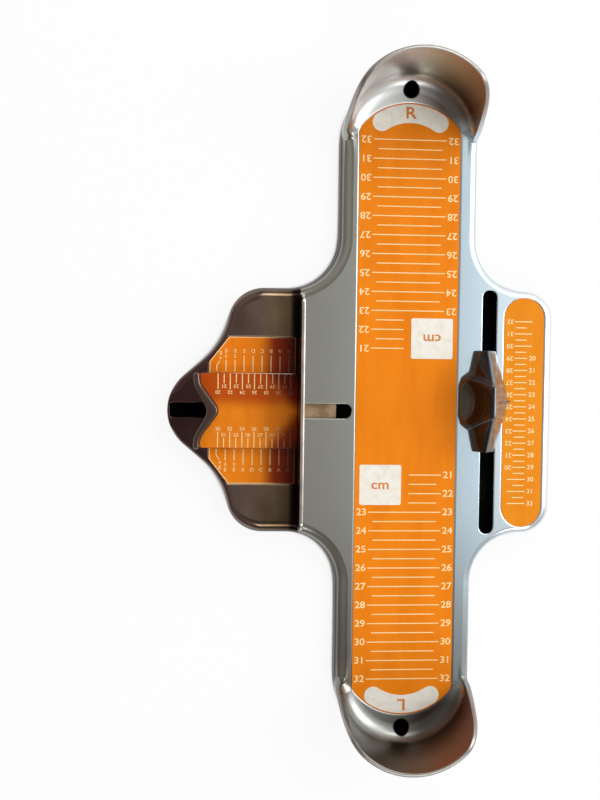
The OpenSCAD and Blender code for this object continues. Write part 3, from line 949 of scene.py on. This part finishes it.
@dataclass
class BaseCasting:
    """The one-piece bed with its two heel cups, wing, ear and skirt."""

    layout: Layout
    edge_r: float = 6.5 * MM
    right_edge_r: float = 3.9 * MM
    waist_edge_r: float = 4 * MM
    tip_edge_r: float = 1 * MM
    right_x: tuple[float, float] = (-12 * MM, 24 * MM)  # where edge_r turns into right_edge_r
    waist_x: tuple[float, float] = (-82 * MM, -98 * MM)  # and where it turns into waist_edge_r
    tip_x: float = -100 * MM
    tip_y: tuple[float, float] = (13 * MM, 7 * MM)
    tip_thin: float = 0.58  # how much less wall there is at the tip
    cup_h: float = 41 * MM
    cup_flare: float = 1.5 * MM
    rim_thin: float = 0.4 * MM
    rim_r: float = 1.5 * MM
    rim_inner_r: float = 0.5 * MM
    fillet_r: float = 8 * MM
    slope_y: float = 144.75 * MM
    slope: float = math.tan(math.radians(67))
    bend: float = 15 * MM
    foot_bend: float = 5 * MM
    rise: tuple[float, float] = (14 * MM, 4 * MM)  # how far before slope_y the rim gets going
    hole_r: float = 3.6 * MM
    hole_y: float = 169.65 * MM
    hole_sink: float = 1.3 * MM
    hole_lip: float = 1.2 * MM
    rib_y: tuple[float, ...] = (128 * MM, 100 * MM, -100 * MM, -128 * MM)
    rib_size: tuple[float, float, float] = (67.4 * MM, 2.5 * MM, 6 * MM)

    def rim_height(self, y: float) -> float:
        """How high the rim stands above the bed at a distance along it."""
        steep = (abs(y) - self.slope_y) * self.slope
        rounded = self.foot_bend * math.log1p(math.exp(min(60.0, steep / self.foot_bend)))
        overlap = max(0.0, 1 - abs(rounded - self.cup_h) / self.bend)
        height = min(rounded, self.cup_h) - self.bend / 4 * overlap * overlap
        start, whole = (self.slope_y - before for before in self.rise)
        return height * smooth_step(abs(y), start, whole)

    def at_tip(self, station: Station) -> float:
        """1 at the wing's tip, where the slot leaves only a thin edge, and 0 elsewhere."""
        if station.place.x > self.tip_x:
            return 0.0
        return smooth_step(abs(station.place.y), *self.tip_y)

    def edge_radius(self, station: Station) -> float:
        """Radius of the bed's edge: worn rounder on the left, and thin at the wing's tip."""
        x = station.place.x
        right, waist = smooth_step(x, *self.right_x), smooth_step(x, *self.waist_x)
        radius = self.edge_r + (self.right_edge_r - self.edge_r) * right
        radius += (self.waist_edge_r - radius) * waist
        return radius + (self.tip_edge_r - radius) * self.at_tip(station)

    def wall_section(self, height: float, edge: float) -> list[tuple[float, float]]:
        """The inner and outer face of the cup's wall as distances outwards and heights."""
        bed = self.layout.bed_z
        fillet = min(self.fillet_r, 0.6 * height)
        rim = min(self.rim_r, 0.35 * height)
        inner_rim = min(self.rim_inner_r, 0.35 * height)
        top = bed + height

        def outer(z: float) -> float:
            """How far out the outer face stands at a height."""
            return self.cup_flare * (z - bed) / self.cup_h

        def inner(z: float) -> float:
            """How far out the inner face stands at a height."""
            return outer(z) - self.layout.wall + self.rim_thin * (z - bed) / self.cup_h

        foot = inner(bed + fillet)
        points = [(foot - fillet - 0.6 * MM, bed)]
        for turn in quarter(8):
            over, up = fillet * (1 - math.sin(turn)), fillet * (1 - math.cos(turn))
            points.append((foot - over, bed + up))
        for share in (0.33, 0.67, 1.0):
            z = bed + fillet + (height - fillet - inner_rim) * share
            points.append((inner(z), z))
        z = top - inner_rim
        for turn in quarter(2)[1:]:
            over, up = inner_rim * (1 - math.cos(turn)), inner_rim * math.sin(turn)
            points.append((inner(z) + over, z + up))
        z = top - rim
        for share in (0.0, 0.33, 0.67, 1.0):
            angle = math.pi / 2 * share
            points.append((outer(z) - rim * (1 - math.sin(angle)), z + rim * math.cos(angle)))
        for share in (0.25, 0.5, 0.75, 0.92):
            z = top - rim - (height - rim + edge) * share
            points.append((max(0.0, outer(z)), z))
        points.append((0.0, bed - edge))
        return points

    def edge_section(self, edge: float, margin: float, count: int) -> list[tuple[float, float]]:
        """The bed's rounded edge, drawn with as many points as the cup's wall."""
        bed = self.layout.bed_z
        outer = 8
        inner = count - outer
        points = [(-edge - margin * (1 - k / (inner - 1)), bed) for k in range(inner)]
        for turn in quarter(outer)[1:]:
            points.append((-edge * (1 - math.sin(turn)), bed - edge * (1 - math.cos(turn))))
        return points

    def section(self, station: Station) -> Places:
        """The edge's section at a station, from the deck over the rim to the underside."""
        tip = self.at_tip(station)
        edge = self.edge_radius(station)
        wall = self.layout.wall * (1 - self.tip_thin * tip)
        near_cup = smooth_step(abs(station.place.y), 105 * MM, 138 * MM)
        height = self.rim_height(station.place.y)
        raised = self.wall_section(max(height, 0.5 * MM), edge)
        flat = self.edge_section(edge, (0.1 + 2.4 * near_cup) * MM, len(raised))
        share = smooth_step(height, 0.0, 7 * MM)
        pairs = zip(flat, raised)
        points = [(a + (c - a) * share, b + (d - b) * share) for (a, b), (c, d) in pairs]
        under = self.layout.under_z
        root = (1 - tip) * MM + 0.05 * MM
        points += [
            (0.0, 0.5 * MM),
            (-0.35 * MM, 0.0),
            (0.3 * MM - wall, 0.0),
            (-wall, 0.5 * MM),
            (-wall, under - root),
            (-wall - root * 0.3, under - root * 0.3),
            (-wall - root, under),
        ]
        return [Vector((*(station.place + station.out * out), z)) for out, z in points]

    def shell(self) -> Piece:
        """The casting before anything is cut into it."""
        walked = stations(self.layout.outline(), arc_step=3.0, run_step=6 * MM)
        sections = [self.section(s) for s in walked]
        levels = [[section[k] for section in sections] for k in range(len(sections[0]))]
        return piece_of(solid_of_loops(levels), "casting")

    def recess_tool(
        self,
        corners: list[Corner],
        floor: float,
        lip: float,
        grow: float,
        depth: float | None = None,
    ) -> Piece:
        """A tool that cuts a recess or slot and rounds its mouth.

        Args:
            corners: The outline of what the recess takes.
            floor: The height that the recess goes down to.
            lip: The radius at its mouth.
            grow: How far it is wider than the outline.
            depth: How deep the rounding reaches. Without it, it is a full quarter round.

        Returns:
            The tool.
        """
        bed = self.layout.bed_z
        full = math.pi / 2 if depth is None else math.acos(1 - depth / lip)
        levels = [level(stations(corners, grow), floor)]
        least = 0.05  # the tool's last ring stays just below the bed, so the cut is clean
        for k in range(7):
            turn = least + (full - least) * (1 - k / 6)
            out = grow + lip * (math.sin(full) - math.sin(turn))
            levels.append(level(stations(corners, out), bed - lip * (1 - math.cos(turn))))
        levels.append(level(stations(corners, out), bed + 1 * MM))
        return piece_of(solid_of_loops(levels), "tool")

    def hole_tool(self, side: int) -> Piece:
        """A tool that drills a heel hole and breaks its edge."""
        bed, wide = self.layout.bed_z, self.hole_r + self.hole_lip
        levels = []
        for z, r in (
            (-1 * MM, self.hole_r),
            (bed - self.hole_sink, self.hole_r),
            (bed + 3 * MM, wide),
            (bed + 12 * MM, wide),
        ):
            levels.append([Vector((x, side * self.hole_y + y, z)) for x, y in circle(r, 48)])
        return piece_of(solid_of_loops(levels), "tool")

    def ribs(self) -> list[Piece]:
        """The cast ribs across the bed's underside."""
        ribs = []
        for y in self.rib_y:
            mesh = bmesh.new()
            place = Matrix.Translation((0, y, self.layout.under_z - 2 * MM))
            size = Matrix.Diagonal((*self.rib_size, 1))
            bmesh.ops.create_cube(mesh, size=1.0, matrix=place @ size)
            ribs.append(piece_of(mesh, "rib"))
        return ribs

    def build(self) -> Piece:
        """Builds the casting with its recesses, slots, holes and ribs."""
        lay = self.layout
        casting = self.shell()
        for rib in self.ribs():
            combine(casting, rib, "UNION")
        plate_z = lay.mark_z - 0.6 * MM
        sunk = lay.bed_z - lay.mark_z
        for corners, lip in (
            (lay.length_field(), 1.3 * MM),
            (lay.arch_field(), 0.9 * MM),
            (lay.letter_field(1), 1.0 * MM),
            (lay.letter_field(-1), 1.0 * MM),
        ):
            tool = self.recess_tool(corners, plate_z, lip, lay.plate_gap, sunk)
            combine(casting, tool, "DIFFERENCE")
        for corners in (lay.arch_slot(), lay.wing_slot()):
            combine(casting, self.recess_tool(corners, -1 * MM, 0.6 * MM, 0.0), "DIFFERENCE")
        for side in (1, -1):
            combine(casting, self.hole_tool(side), "DIFFERENCE")
        shade(casting)
        return casting


# ---------------------------------------------------------------- width bar


@dataclass
class WidthBar:
    """The casting that slides across the bed: fence, tongue, finger pull and guide key."""

    slide_z: float = 12.3 * MM
    tongue_t: float = 2 * MM
    tongue_half: float = 19.7 * MM
    fence_x: float = 58.2 * MM
    fence_t: float = 2 * MM
    fence_top: float = 37 * MM
    fence_half: float = 60 * MM
    pull_top: float = 25 * MM

    def pull_outline(self) -> list[Corner]:
        """The finger pull's wavy plan."""
        outer = [(-112.4, 19.7, 1.2), (-112.4, 13.5, 12), (-104.9, 0, 6)]
        inner = [(-109.2, -19.7, 1.2), (-109.2, -14.5, 8), (-98.6, 0, 5)]
        wave = outer + [(x, -y, r) for x, y, r in reversed(outer[:2])]
        wave += inner + [(x, -y, r) for x, y, r in reversed(inner[:2])]
        return in_metres(wave)

    def rounded_prism(
        self, corners: list[Corner], low: float, high: float, edge: float, name: str
    ) -> Piece:
        """A prism on an outline with its upper edge rounded."""
        levels = [level(stations(corners), low)]
        for turn in quarter(5):
            grow = -edge * (1 - math.cos(turn))
            levels.append(level(stations(corners, grow), high - edge * (1 - math.sin(turn))))
        return piece_of(solid_of_loops(levels), name)

    def fence(self) -> Piece:
        """The upright fence, with its upper corners and its edges rounded."""
        half, low, high = self.fence_half, self.slide_z, self.fence_top
        upper_r, lower_r, edge = 5.5 * MM, 0.8 * MM, 0.6 * MM
        corners = [(half, high, upper_r), (-half, high, upper_r)]
        corners += [(-half, low, lower_r), (half, low, lower_r)]
        steps = [(0.0, edge), (edge * 0.3, edge * 0.3), (edge, 0.0)]
        walls = steps + [(self.fence_t - depth, inset) for depth, inset in reversed(steps)]
        levels = []
        for depth, inset in walls:
            walked = stations(corners, -inset)
            levels.append([Vector((depth - self.fence_x, *s.place)) for s in walked])
        return piece_of(solid_of_loops(levels), "fence")

    def build(self) -> Piece:
        """Builds the width bar."""
        foot, half, wave = self.fence_t - self.fence_x, self.tongue_half, self.pull_outline()
        tongue = [(foot, half, 0.0), *wave[:5], (foot, -half, 0.0)]
        low, top = self.slide_z, self.slide_z + self.tongue_t
        bar = self.rounded_prism(tongue, low, top, 0.3 * MM, "width_bar_cast")
        pull = self.rounded_prism(wave, low + 0.2 * MM, self.pull_top, 1.1 * MM, "pull")
        combine(bar, pull, "UNION")
        combine(bar, self.fence(), "UNION")
        key = [(-57.5, 3.45, 3.4), (-86, 3.45, 1.5), (-86, -3.45, 1.5), (-57.5, -3.45, 3.4)]
        combine(bar, prism(in_metres(key), *KEY_Z, "key"), "UNION")
        shade(bar)
        return bar


# ---------------------------------------------------------------- arch slider


@dataclass
class ArchSlider:
    """The casting that slides along the bed: a ridge with a bowl, two narrow ends, a pointer.

    Its points are in millimetres until they are placed: X from the middle of the bed, Y from
    the slider's own middle and Z from the table.
    """

    centre_y: float = 6.1 * MM
    slide_z: float = 12.3
    foot_t: float = 1.4
    ridge_x: float = 41.1
    ridge_z: float = 37.0
    end_z: float = 20.5
    half: float = 27.0
    bowl_x: float = 22.4
    bowl_r: float = 18.0
    bowl_floor_r: float = 11.5
    bowl_floor_z: float = 15.0
    voxel: float = 0.4 * MM
    softening: int = 7

    def place(self, x: float, y: float, z: float) -> Vector:
        """A plain point in the shared frame."""
        return Vector((x * MM, y * MM + self.centre_y, z * MM))

    def lump(self, mesh: BMesh, foot: list[tuple[float, float]], tops: list[Vector]) -> None:
        """Adds a convex lump that stands on a foot.

        Args:
            mesh: The mesh to add to.
            foot: The foot's corners in plan.
            tops: The points that the lump rises to.
        """
        heights = (self.slide_z, self.slide_z + self.foot_t)
        corners = [self.place(x, y, z) for x, y in foot for z in heights] + tops
        verts = [mesh.verts.new(corner) for corner in corners]
        made = bmesh.ops.convex_hull(mesh, input=verts)
        inside = [v for v in made["geom_interior"] if isinstance(v, Vert)]
        bmesh.ops.delete(mesh, geom=inside, context="VERTS")

    def mound(self) -> Piece:
        """The slider's outer form, as overlapping lumps."""
        ridge, top = self.ridge_x, self.ridge_z
        mesh = bmesh.new()
        back = [(50.4, 13.0), (52.6, 9.4), (54.0, 4.0)]
        front = [(28.1, 8.0), (29.6, 12.6), (33.0, 15.4)]
        foot = [(x, side * y) for side in (1, -1) for x, y in back + front]
        ends = [(x, y) for x in (-0.8, 0.8) for y in (-8, 8)]
        crest = [self.place(ridge + x, y, top - abs(y) * 0.12) for x, y in ends]
        self.lump(mesh, foot, crest)
        for side in (1, -1):
            end = [(33.0, 10.0), (52.0, 10.0), (50.4, 13.0), (47.6, self.half), (36.2, self.half)]
            foot = [(x, side * y) for x, y in end + [(34.0, 16.5)]]
            crest = [
                self.place(ridge + x, side * y, z)
                for x in (-0.9, 0.9)
                for y, z in ((8.0, top - 3.5), (self.half, self.end_z))
            ]
            self.lump(mesh, foot, crest)
        tip = [self.place(ridge + 2.2, y, top - 5.5) for y in (-0.6, 0.6)]
        self.lump(mesh, [(56.4, 0.0), (50.0, 3.4), (50.0, -3.4)], tip)
        return piece_of(mesh, "arch_slider_cast")

    def bowl(self) -> Piece:
        """The tool that hollows out the bowl for the ball of the foot."""
        reach = self.bowl_r - self.bowl_floor_r
        rise = self.ridge_z - self.bowl_floor_z
        arc_r = (reach * reach + rise * rise) / (2 * reach)
        profile = [(self.bowl_floor_r - 3.4, self.bowl_floor_z), (self.bowl_floor_r - 1, 15.7)]
        for z in (17.2, 20.0, 24.0, 28.0, 32.0, 35.0, 37.0, 39.0):
            drop = self.ridge_z - z
            profile.append((self.bowl_r - arc_r + math.sqrt(arc_r**2 - drop**2), z))
        levels = []
        for r, z in profile:
            levels.append([self.place(self.bowl_x + x, y, z) for x, y in circle(r, 72)])
        return piece_of(solid_of_loops(levels), "tool")

    def index_line(self) -> Piece:
        """The tool that scores the reading line down the back to the pointer."""
        top = self.place(43.3, 0, self.ridge_z - 5.7)
        foot = self.place(56.3, 0, self.slide_z + 1.1)
        way = foot - top
        mesh = bmesh.new()
        turn = way.to_track_quat("X", "Z").to_matrix().to_4x4()
        size = Matrix.Diagonal((way.length, 0.7 * MM, 1.7 * MM, 1))
        middle = Matrix.Translation((top + foot) / 2)
        bmesh.ops.create_cube(mesh, size=1.0, matrix=middle @ turn @ size)
        return piece_of(mesh, "tool")

    def build(self) -> Piece:
        """Builds the slider, evened out like a tumbled casting."""
        slider = self.mound()
        for step in ("union", "carved"):
            remesh = slider.modifiers.new(step, "REMESH")
            remesh.mode = "VOXEL"
            remesh.voxel_size = self.voxel
            settle(slider)
            if step == "union":
                combine(slider, self.bowl(), "DIFFERENCE")
        mesh = bmesh.new()
        mesh.from_mesh(slider.data)
        low = (self.slide_z + 0.7) * MM
        axes = {f"use_axis_{name}": True for name in "xyz"}
        for _ in range(self.softening):
            upper = [v for v in mesh.verts if v.co.z > low]
            bmesh.ops.smooth_vert(mesh, verts=upper, factor=0.5, **axes)
        mesh.to_mesh(slider.data)
        mesh.free()
        key = [(47.85, 16, 3.4), (40.95, 16, 3.4), (40.95, -16, 3.4), (47.85, -16, 3.4)]
        corners = [(x, y + self.centre_y, r) for x, y, r in in_metres(key)]
        combine(slider, prism(corners, *KEY_Z, "key"), "UNION")
        combine(slider, self.index_line(), "DIFFERENCE")
        slider.data.shade_smooth()
        slider.data.set_sharp_from_angle(angle=math.radians(50))
        return slider


# ---------------------------------------------------------------- numbers and letters


@dataclass(frozen=True)
class Label:
    """One number or letter on a scale."""

    text: str
    x: float
    y: float
    height: float
    facing: Facing = Facing.UPRIGHT
    stretch: float = 1.1


@dataclass
class Lettering:
    """Sets of numbers and letters, each set one piece that lies on its plate."""

    layout: Layout
    cap_share: float = 0.7  # a capital's share of the font's size
    bold: float = 0.012  # how much the strokes are thickened, as a share of that size

    def glyphs(self, label: Label) -> bpy.types.Mesh:
        """One label as a mesh at its place in plan, lying at height 0."""
        curve = bpy.data.curves.new("label", "FONT")
        curve.body = label.text
        curve.align_x, curve.align_y = "CENTER", "CENTER"
        curve.size = label.height / self.cap_share
        curve.offset = self.bold * curve.size
        curve.extrude = self.layout.mark_t / 2
        curve.resolution_u = 4
        words = bpy.data.objects.new("label", curve)
        bpy.context.scene.collection.objects.link(words)
        graph = bpy.context.evaluated_depsgraph_get()
        mesh = bpy.data.meshes.new_from_object(words.evaluated_get(graph))
        turn = Matrix.Rotation(math.radians(label.facing.value), 4, "Z")
        wide = Matrix.Diagonal((label.stretch, 1, 1, 1))
        mesh.transform(Matrix.Translation((label.x, label.y, 0)) @ turn @ wide)
        bpy.data.objects.remove(words)
        bpy.data.curves.remove(curve)
        return mesh

    def build(self, name: str, labels: list[Label], height: float) -> Piece:
        """Joins labels into one piece.

        Args:
            name: The piece's name.
            labels: What it holds.
            height: The height of the plate that it lies on.

        Returns:
            The piece.
        """
        joined = bmesh.new()
        for label in labels:
            mesh = self.glyphs(label)
            joined.from_mesh(mesh)
            bpy.data.meshes.remove(mesh)
        lift = Vector((0, 0, height + self.layout.mark_t / 2))
        bmesh.ops.translate(joined, verts=joined.verts, vec=lift)
        return piece_of(joined, name)

    def borders(self, name: str, fields: list[list[Corner]], inset: float, width: float) -> Piece:
        """A printed line round each of some plates.

        Args:
            name: The piece's name.
            fields: The plates' outlines.
            inset: How far inside an outline its line starts.
            width: The line's width.

        Returns:
            The piece.
        """
        joined = bmesh.new()
        low, high = self.layout.mark_z, self.layout.mark_z + self.layout.mark_t
        for corners in fields:
            outer, inner = stations(corners, -inset), stations(corners, -inset - width)
            loop = first = new_loop(joined, level(outer, low))
            for walked, height in ((outer, high), (inner, high), (inner, low)):
                loop = extrude_loop(joined, loop, level(walked, height))
            fill(joined, first, loop)
        bmesh.ops.recalc_face_normals(joined, faces=joined.faces)
        return piece_of(joined, name)


@dataclass
class Scales:
    """Which number or letter stands where on each scale."""

    layout: Layout
    sizes: range = range(21, 33)
    cm: float = 10 * MM
    length_x: float = 23.3 * MM
    arch_x: tuple[float, float] = (55.8 * MM, 68.1 * MM)
    arch_pitch: float = 6.52  # in millimetres, as is where the first size stands
    arch_first: float = 29.34

    def length(self) -> list[Label]:
        """The foot sizes on both sides of each whole line, except beside the panels."""
        labels = []
        for size in self.sizes:
            y = self.layout.stop_y - self.cm * size
            for side in (-1, 1):
                if size < 23 and side < 0:
                    continue
                x = side * self.length_x
                labels.append(Label(str(size), x, y, 3.6 * MM, stretch=1.12))
                labels.append(Label(str(size), -x, -y, 3.6 * MM, Facing.UPSIDE_DOWN, 1.12))
        return labels

    def arch(self) -> list[Label]:
        """The foot sizes on the arch plate, up one side and down the other."""
        labels, (left, right) = [], self.arch_x
        for k in range(-3, 13):
            y = (self.arch_first - self.arch_pitch * k) * MM
            if k <= 9:
                labels.append(Label(str(29 - k), left, y, 2.4 * MM, Facing.UPSIDE_DOWN))
            if k >= 0:
                labels.append(Label(str(20 + k), right, y, 2.4 * MM))
        return labels

    def widths(self) -> list[Label]:
        """The width letters, with the count of a repeated letter below it."""
        names = ["4E", "3E", "2E", "E", "D", "C", "B", "A", "2A"]
        labels = []
        for i, name in enumerate(names):
            x = (-100.7 + 4.73 * i) * MM
            letter_y, digit_y = 31.4 * MM, 28.6 * MM
            if i == 0:  # the plate's slanted corner pushes the first one inwards
                x, letter_y, digit_y = x + 1.9 * MM, 30.2 * MM, 27.6 * MM
            for side, facing in ((1, Facing.UPSIDE_DOWN), (-1, Facing.UPRIGHT)):
                labels.append(Label(name[-1], x, side * letter_y, 1.9 * MM, facing))
                if len(name) == 2:
                    labels.append(Label(name[0], x, side * digit_y, 1.7 * MM, facing))
        return labels

    def tongue(self) -> list[Label]:
        """The foot sizes on the tongue, in two staggered rows on each half."""
        labels = []
        for i in range(13):
            x = (-100 + 3.17 * i) * MM
            y = (9.6 if i % 2 == 0 else 12.8) * MM
            labels.append(Label(str(20 + i), x, y, 1.75 * MM, Facing.UPSIDE_DOWN))
            labels.append(Label(str(20 + i), x, -y, 1.75 * MM))
        return labels

    def heels(self) -> list[Label]:
        """R in the upper band and L in the lower one, each read from its own end."""
        y = (self.layout.stop_y / MM - 13.25 - 5.5) * MM
        return [
            Label("R", 0, y, 6.0 * MM, Facing.UPRIGHT, 1.15),
            Label("L", 0, -y, 6.0 * MM, Facing.UPSIDE_DOWN, 1.15),
        ]

    def panels(self) -> list[Label]:
        """The unit in each size panel."""
        return [
            Label("cm", 13.3 * MM, 39.1 * MM, 5.0 * MM, Facing.UPSIDE_DOWN, 1.15),
            Label("cm", -13.3 * MM, -39.1 * MM, 5.0 * MM, Facing.UPRIGHT, 1.15),
        ]


# ---------------------------------------------------------------- studio


@dataclass
class Studio:
    """Floor, light and camera."""

    floor_half: float = 3.0
    camera_at: tuple[float, float, float] = (-0.095, 0.0238, 0.5285)
    camera_turn: tuple[float, float, float] = (-0.0357, -0.0734, 0.0126)
    lens: float = 44.14

    def floor(self) -> None:
        """A matt pale floor under everything."""
        mesh = bmesh.new()
        bmesh.ops.create_grid(mesh, x_segments=1, y_segments=1, size=self.floor_half)
        floor = piece_of(mesh, "floor")
        dress(floor, PalePaper("matt_paper").make())

    def lamp(
        self,
        name: str,
        place: tuple[float, float, float],
        size: tuple[float, float],
        power: float,
        colour: str = WHITE,
    ) -> None:
        """Hangs a soft box that points at the middle of the bed."""
        light = bpy.data.lights.new(name, "AREA")
        light.shape = "RECTANGLE"
        light.size, light.size_y = size
        light.energy = power
        light.color = linear(colour)[:3]
        lamp = bpy.data.objects.new(name, light)
        lamp.location = place
        lamp.rotation_euler = (-Vector(place)).to_track_quat("-Z", "Y").to_euler()
        bpy.context.scene.collection.objects.link(lamp)

    def world(self) -> None:
        """A room that is bright on the right, and dark overhead and beyond the lower end."""
        world = bpy.data.worlds.new("room")
        world.use_nodes = True
        tree = world.node_tree
        way = split(tree, add_node(tree, "ShaderNodeTexCoord").outputs["Generated"])
        inputs = {"Value": way["X"], "From Min": -1.0, "From Max": 0.8}
        side = add_node(tree, "ShaderNodeMapRange", inputs=inputs)
        stops = {0.0: "85807A", 0.22: "B4AFAA", 0.44: "A8A39E", 0.51: "6E6862"}
        stops |= {0.57: "A9A5A0", 0.63: "C9CAC8", 0.7: "E9EFF3", 0.77: WHITE}
        walls = ramp(tree, side.outputs["Result"], stops)
        low_end = spread(tree, way["Y"], -0.05, -0.45)
        dim = mixed(tree, times(tree, low_end, 0.55), walls, "4E4640")
        set_inputs(tree, tree.nodes["Background"], {"Color": dim, "Strength": 1.15})
        bpy.context.scene.world = world

    def camera(self) -> None:
        """The photograph's view, from above and a little to the left."""
        data = bpy.data.cameras.new("view")
        data.lens = self.lens
        data.sensor_width = 36.0
        data.clip_start = 0.01
        camera = bpy.data.objects.new("view", data)
        camera.location = self.camera_at
        camera.rotation_euler = self.camera_turn
        bpy.context.scene.collection.objects.link(camera)
        bpy.context.scene.camera = camera

    def build(self) -> None:
        """Sets up the whole studio."""
        self.floor()
        self.world()
        self.lamp("window", (1.1, 0.25, 0.75), (0.8, 1.2), 9.0, "F4F8FF")
        self.lamp("upper_end", (0.35, 1.15, 0.9), (1.0, 0.5), 6.0)
        self.lamp("lower_end", (0.25, -1.15, 0.9), (1.0, 0.5), 5.0)
        self.camera()
        bpy.context.scene.view_settings.view_transform = "Standard"


# ---------------------------------------------------------------- the whole device


@dataclass
class Device:
    """Builds, dresses and mounts every piece."""

    frame: dict[str, Any]
    layout: Layout = field(default_factory=Layout)

    def mount(
        self,
        piece: Piece,
        body: Body,
        slot: str,
        material: bpy.types.Material,
        *nodes: str,
    ) -> None:
        """Dresses a piece, lets it ride on a body and hides the nodes that it stands for."""
        dress(piece, material)
        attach(piece, body.value)
        if nodes:
            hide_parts(*nodes)
        log.info("%s: %d faces, on %s", piece.name, len(piece.data.polygons), body.value)

    def castings(self) -> None:
        """The three castings with their rounded edges."""
        casting = BaseCasting(self.layout).build()
        casting.name = "casting"
        bed = BedCasting("polished_bed_casting").make()
        self.mount(casting, Body.BASE, "casting", bed, "base_casting")
        bar = WidthBar().build()
        bar_metal = BarCasting("polished_bar_casting", streak=(1.0, 1.0, 6.0)).make()
        self.mount(bar, Body.WIDTH_BAR, "width_bar", bar_metal, "width_bar")
        slider = ArchSlider().build()
        finish = SliderCasting("polished_slider_casting", streak=(1.0, 5.0, 5.0), sheen=0.75)
        self.mount(slider, Body.ARCH_SLIDER, "arch_slider", finish.make(), "arch_slider")

    def plates(self) -> None:
        """Finishes of the carried-over plates and of the marks on them."""
        orange = {
            "length_plate": ScaleEnamel("length_enamel", "EE8410", "E47C0A"),
            "arch_plate": ScaleEnamel("arch_enamel", "EA8E1A", "E28410"),
            "right_letter_plate": WingEnamel("right_letter_enamel", "F58414", "E2760C"),
            "left_letter_plate": WingEnamel("left_letter_enamel", "F88A18", "EA800E"),
            "width_size_plate": TongueEnamel("tongue_enamel", "F58A1C", "E67C12"),
        }
        for node, finish in orange.items():
            dress_node(self.frame, node, finish.make())
        cream = FilledMark("cream_marks").make()
        wing_cream = WingMark("wing_cream_marks").make()
        for node, marks in (
            ("length_marks", cream),
            ("arch_marks", cream),
            ("letter_marks", wing_cream),
            ("width_size_marks", wing_cream),
        ):
            dress_node(self.frame, node, marks)
        white = FilledMark("white_enamel", colour="EFEADF", worn="E4DCCB").make()
        for node in ("heel_bands", "size_panels"):
            dress_node(self.frame, node, white)

    def fittings(self) -> None:
        """Finishes of the carried-over springs, keepers and fasteners."""
        tarnished = SteelSheet("tarnished_keeper", colour="CBAF8B", film="A98B68").make()
        blued = SteelSheet("blued_spring", colour="6E737B", film="4A4F58", roughness=0.3).make()
        plated = SteelSheet("zinc_plate", colour="B9B8B4", film="9C9A94", roughness=0.3).make()
        for body in ("width", "arch"):
            dress_node(self.frame, f"{body}_keeper", tarnished)
            dress_node(self.frame, f"{body}_friction_spring", blued)
            dress_node(self.frame, f"{body}_washers", plated)
            dress_node(self.frame, f"{body}_screws", plated)

    def lettering(self) -> None:
        """Numbers and letters, each set on the plate that it belongs to."""
        scales, letters = Scales(self.layout), Lettering(self.layout)
        cream = FilledMark("cream_figures").make()
        wing_cream = WingMark("wing_cream_figures").make()
        rust = FilledMark("orange_letters", colour="D9822B", worn="C8701C").make()
        on_plate = self.layout.mark_z
        on_band = on_plate + self.layout.mark_t
        on_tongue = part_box("width_size_plate")[1].z
        sets = (
            ("length_numbers", scales.length(), on_plate, Body.BASE, cream),
            ("arch_numbers", scales.arch(), on_plate, Body.BASE, cream),
            ("width_letters", scales.widths(), on_plate, Body.BASE, wing_cream),
            ("tongue_numbers", scales.tongue(), on_tongue, Body.WIDTH_BAR, wing_cream),
            ("heel_letters", scales.heels(), on_band, Body.BASE, rust),
            ("panel_letters", scales.panels(), on_band, Body.BASE, rust),
        )
        for name, labels, height, body, material in sets:
            self.mount(letters.build(name, labels, height), body, "marks", material)
        fields = [self.layout.letter_field(side) for side in (1, -1)]
        lines = letters.borders("letter_plate_borders", fields, 0.15 * MM, 0.4 * MM)
        self.mount(lines, Body.BASE, "marks", wing_cream)

    def build(self) -> None:
        """Builds the device."""
        self.castings()
        self.plates()
        self.fittings()
        self.lettering()


def main() -> None:
    """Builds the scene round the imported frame."""
    logging.basicConfig(level=logging.INFO, format="%(message)s")
    for old in list(bpy.data.objects):
        bpy.data.objects.remove(old)
    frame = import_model()
    Device(frame).build()
    Studio().build()


if __name__ == "__main__":
    main()
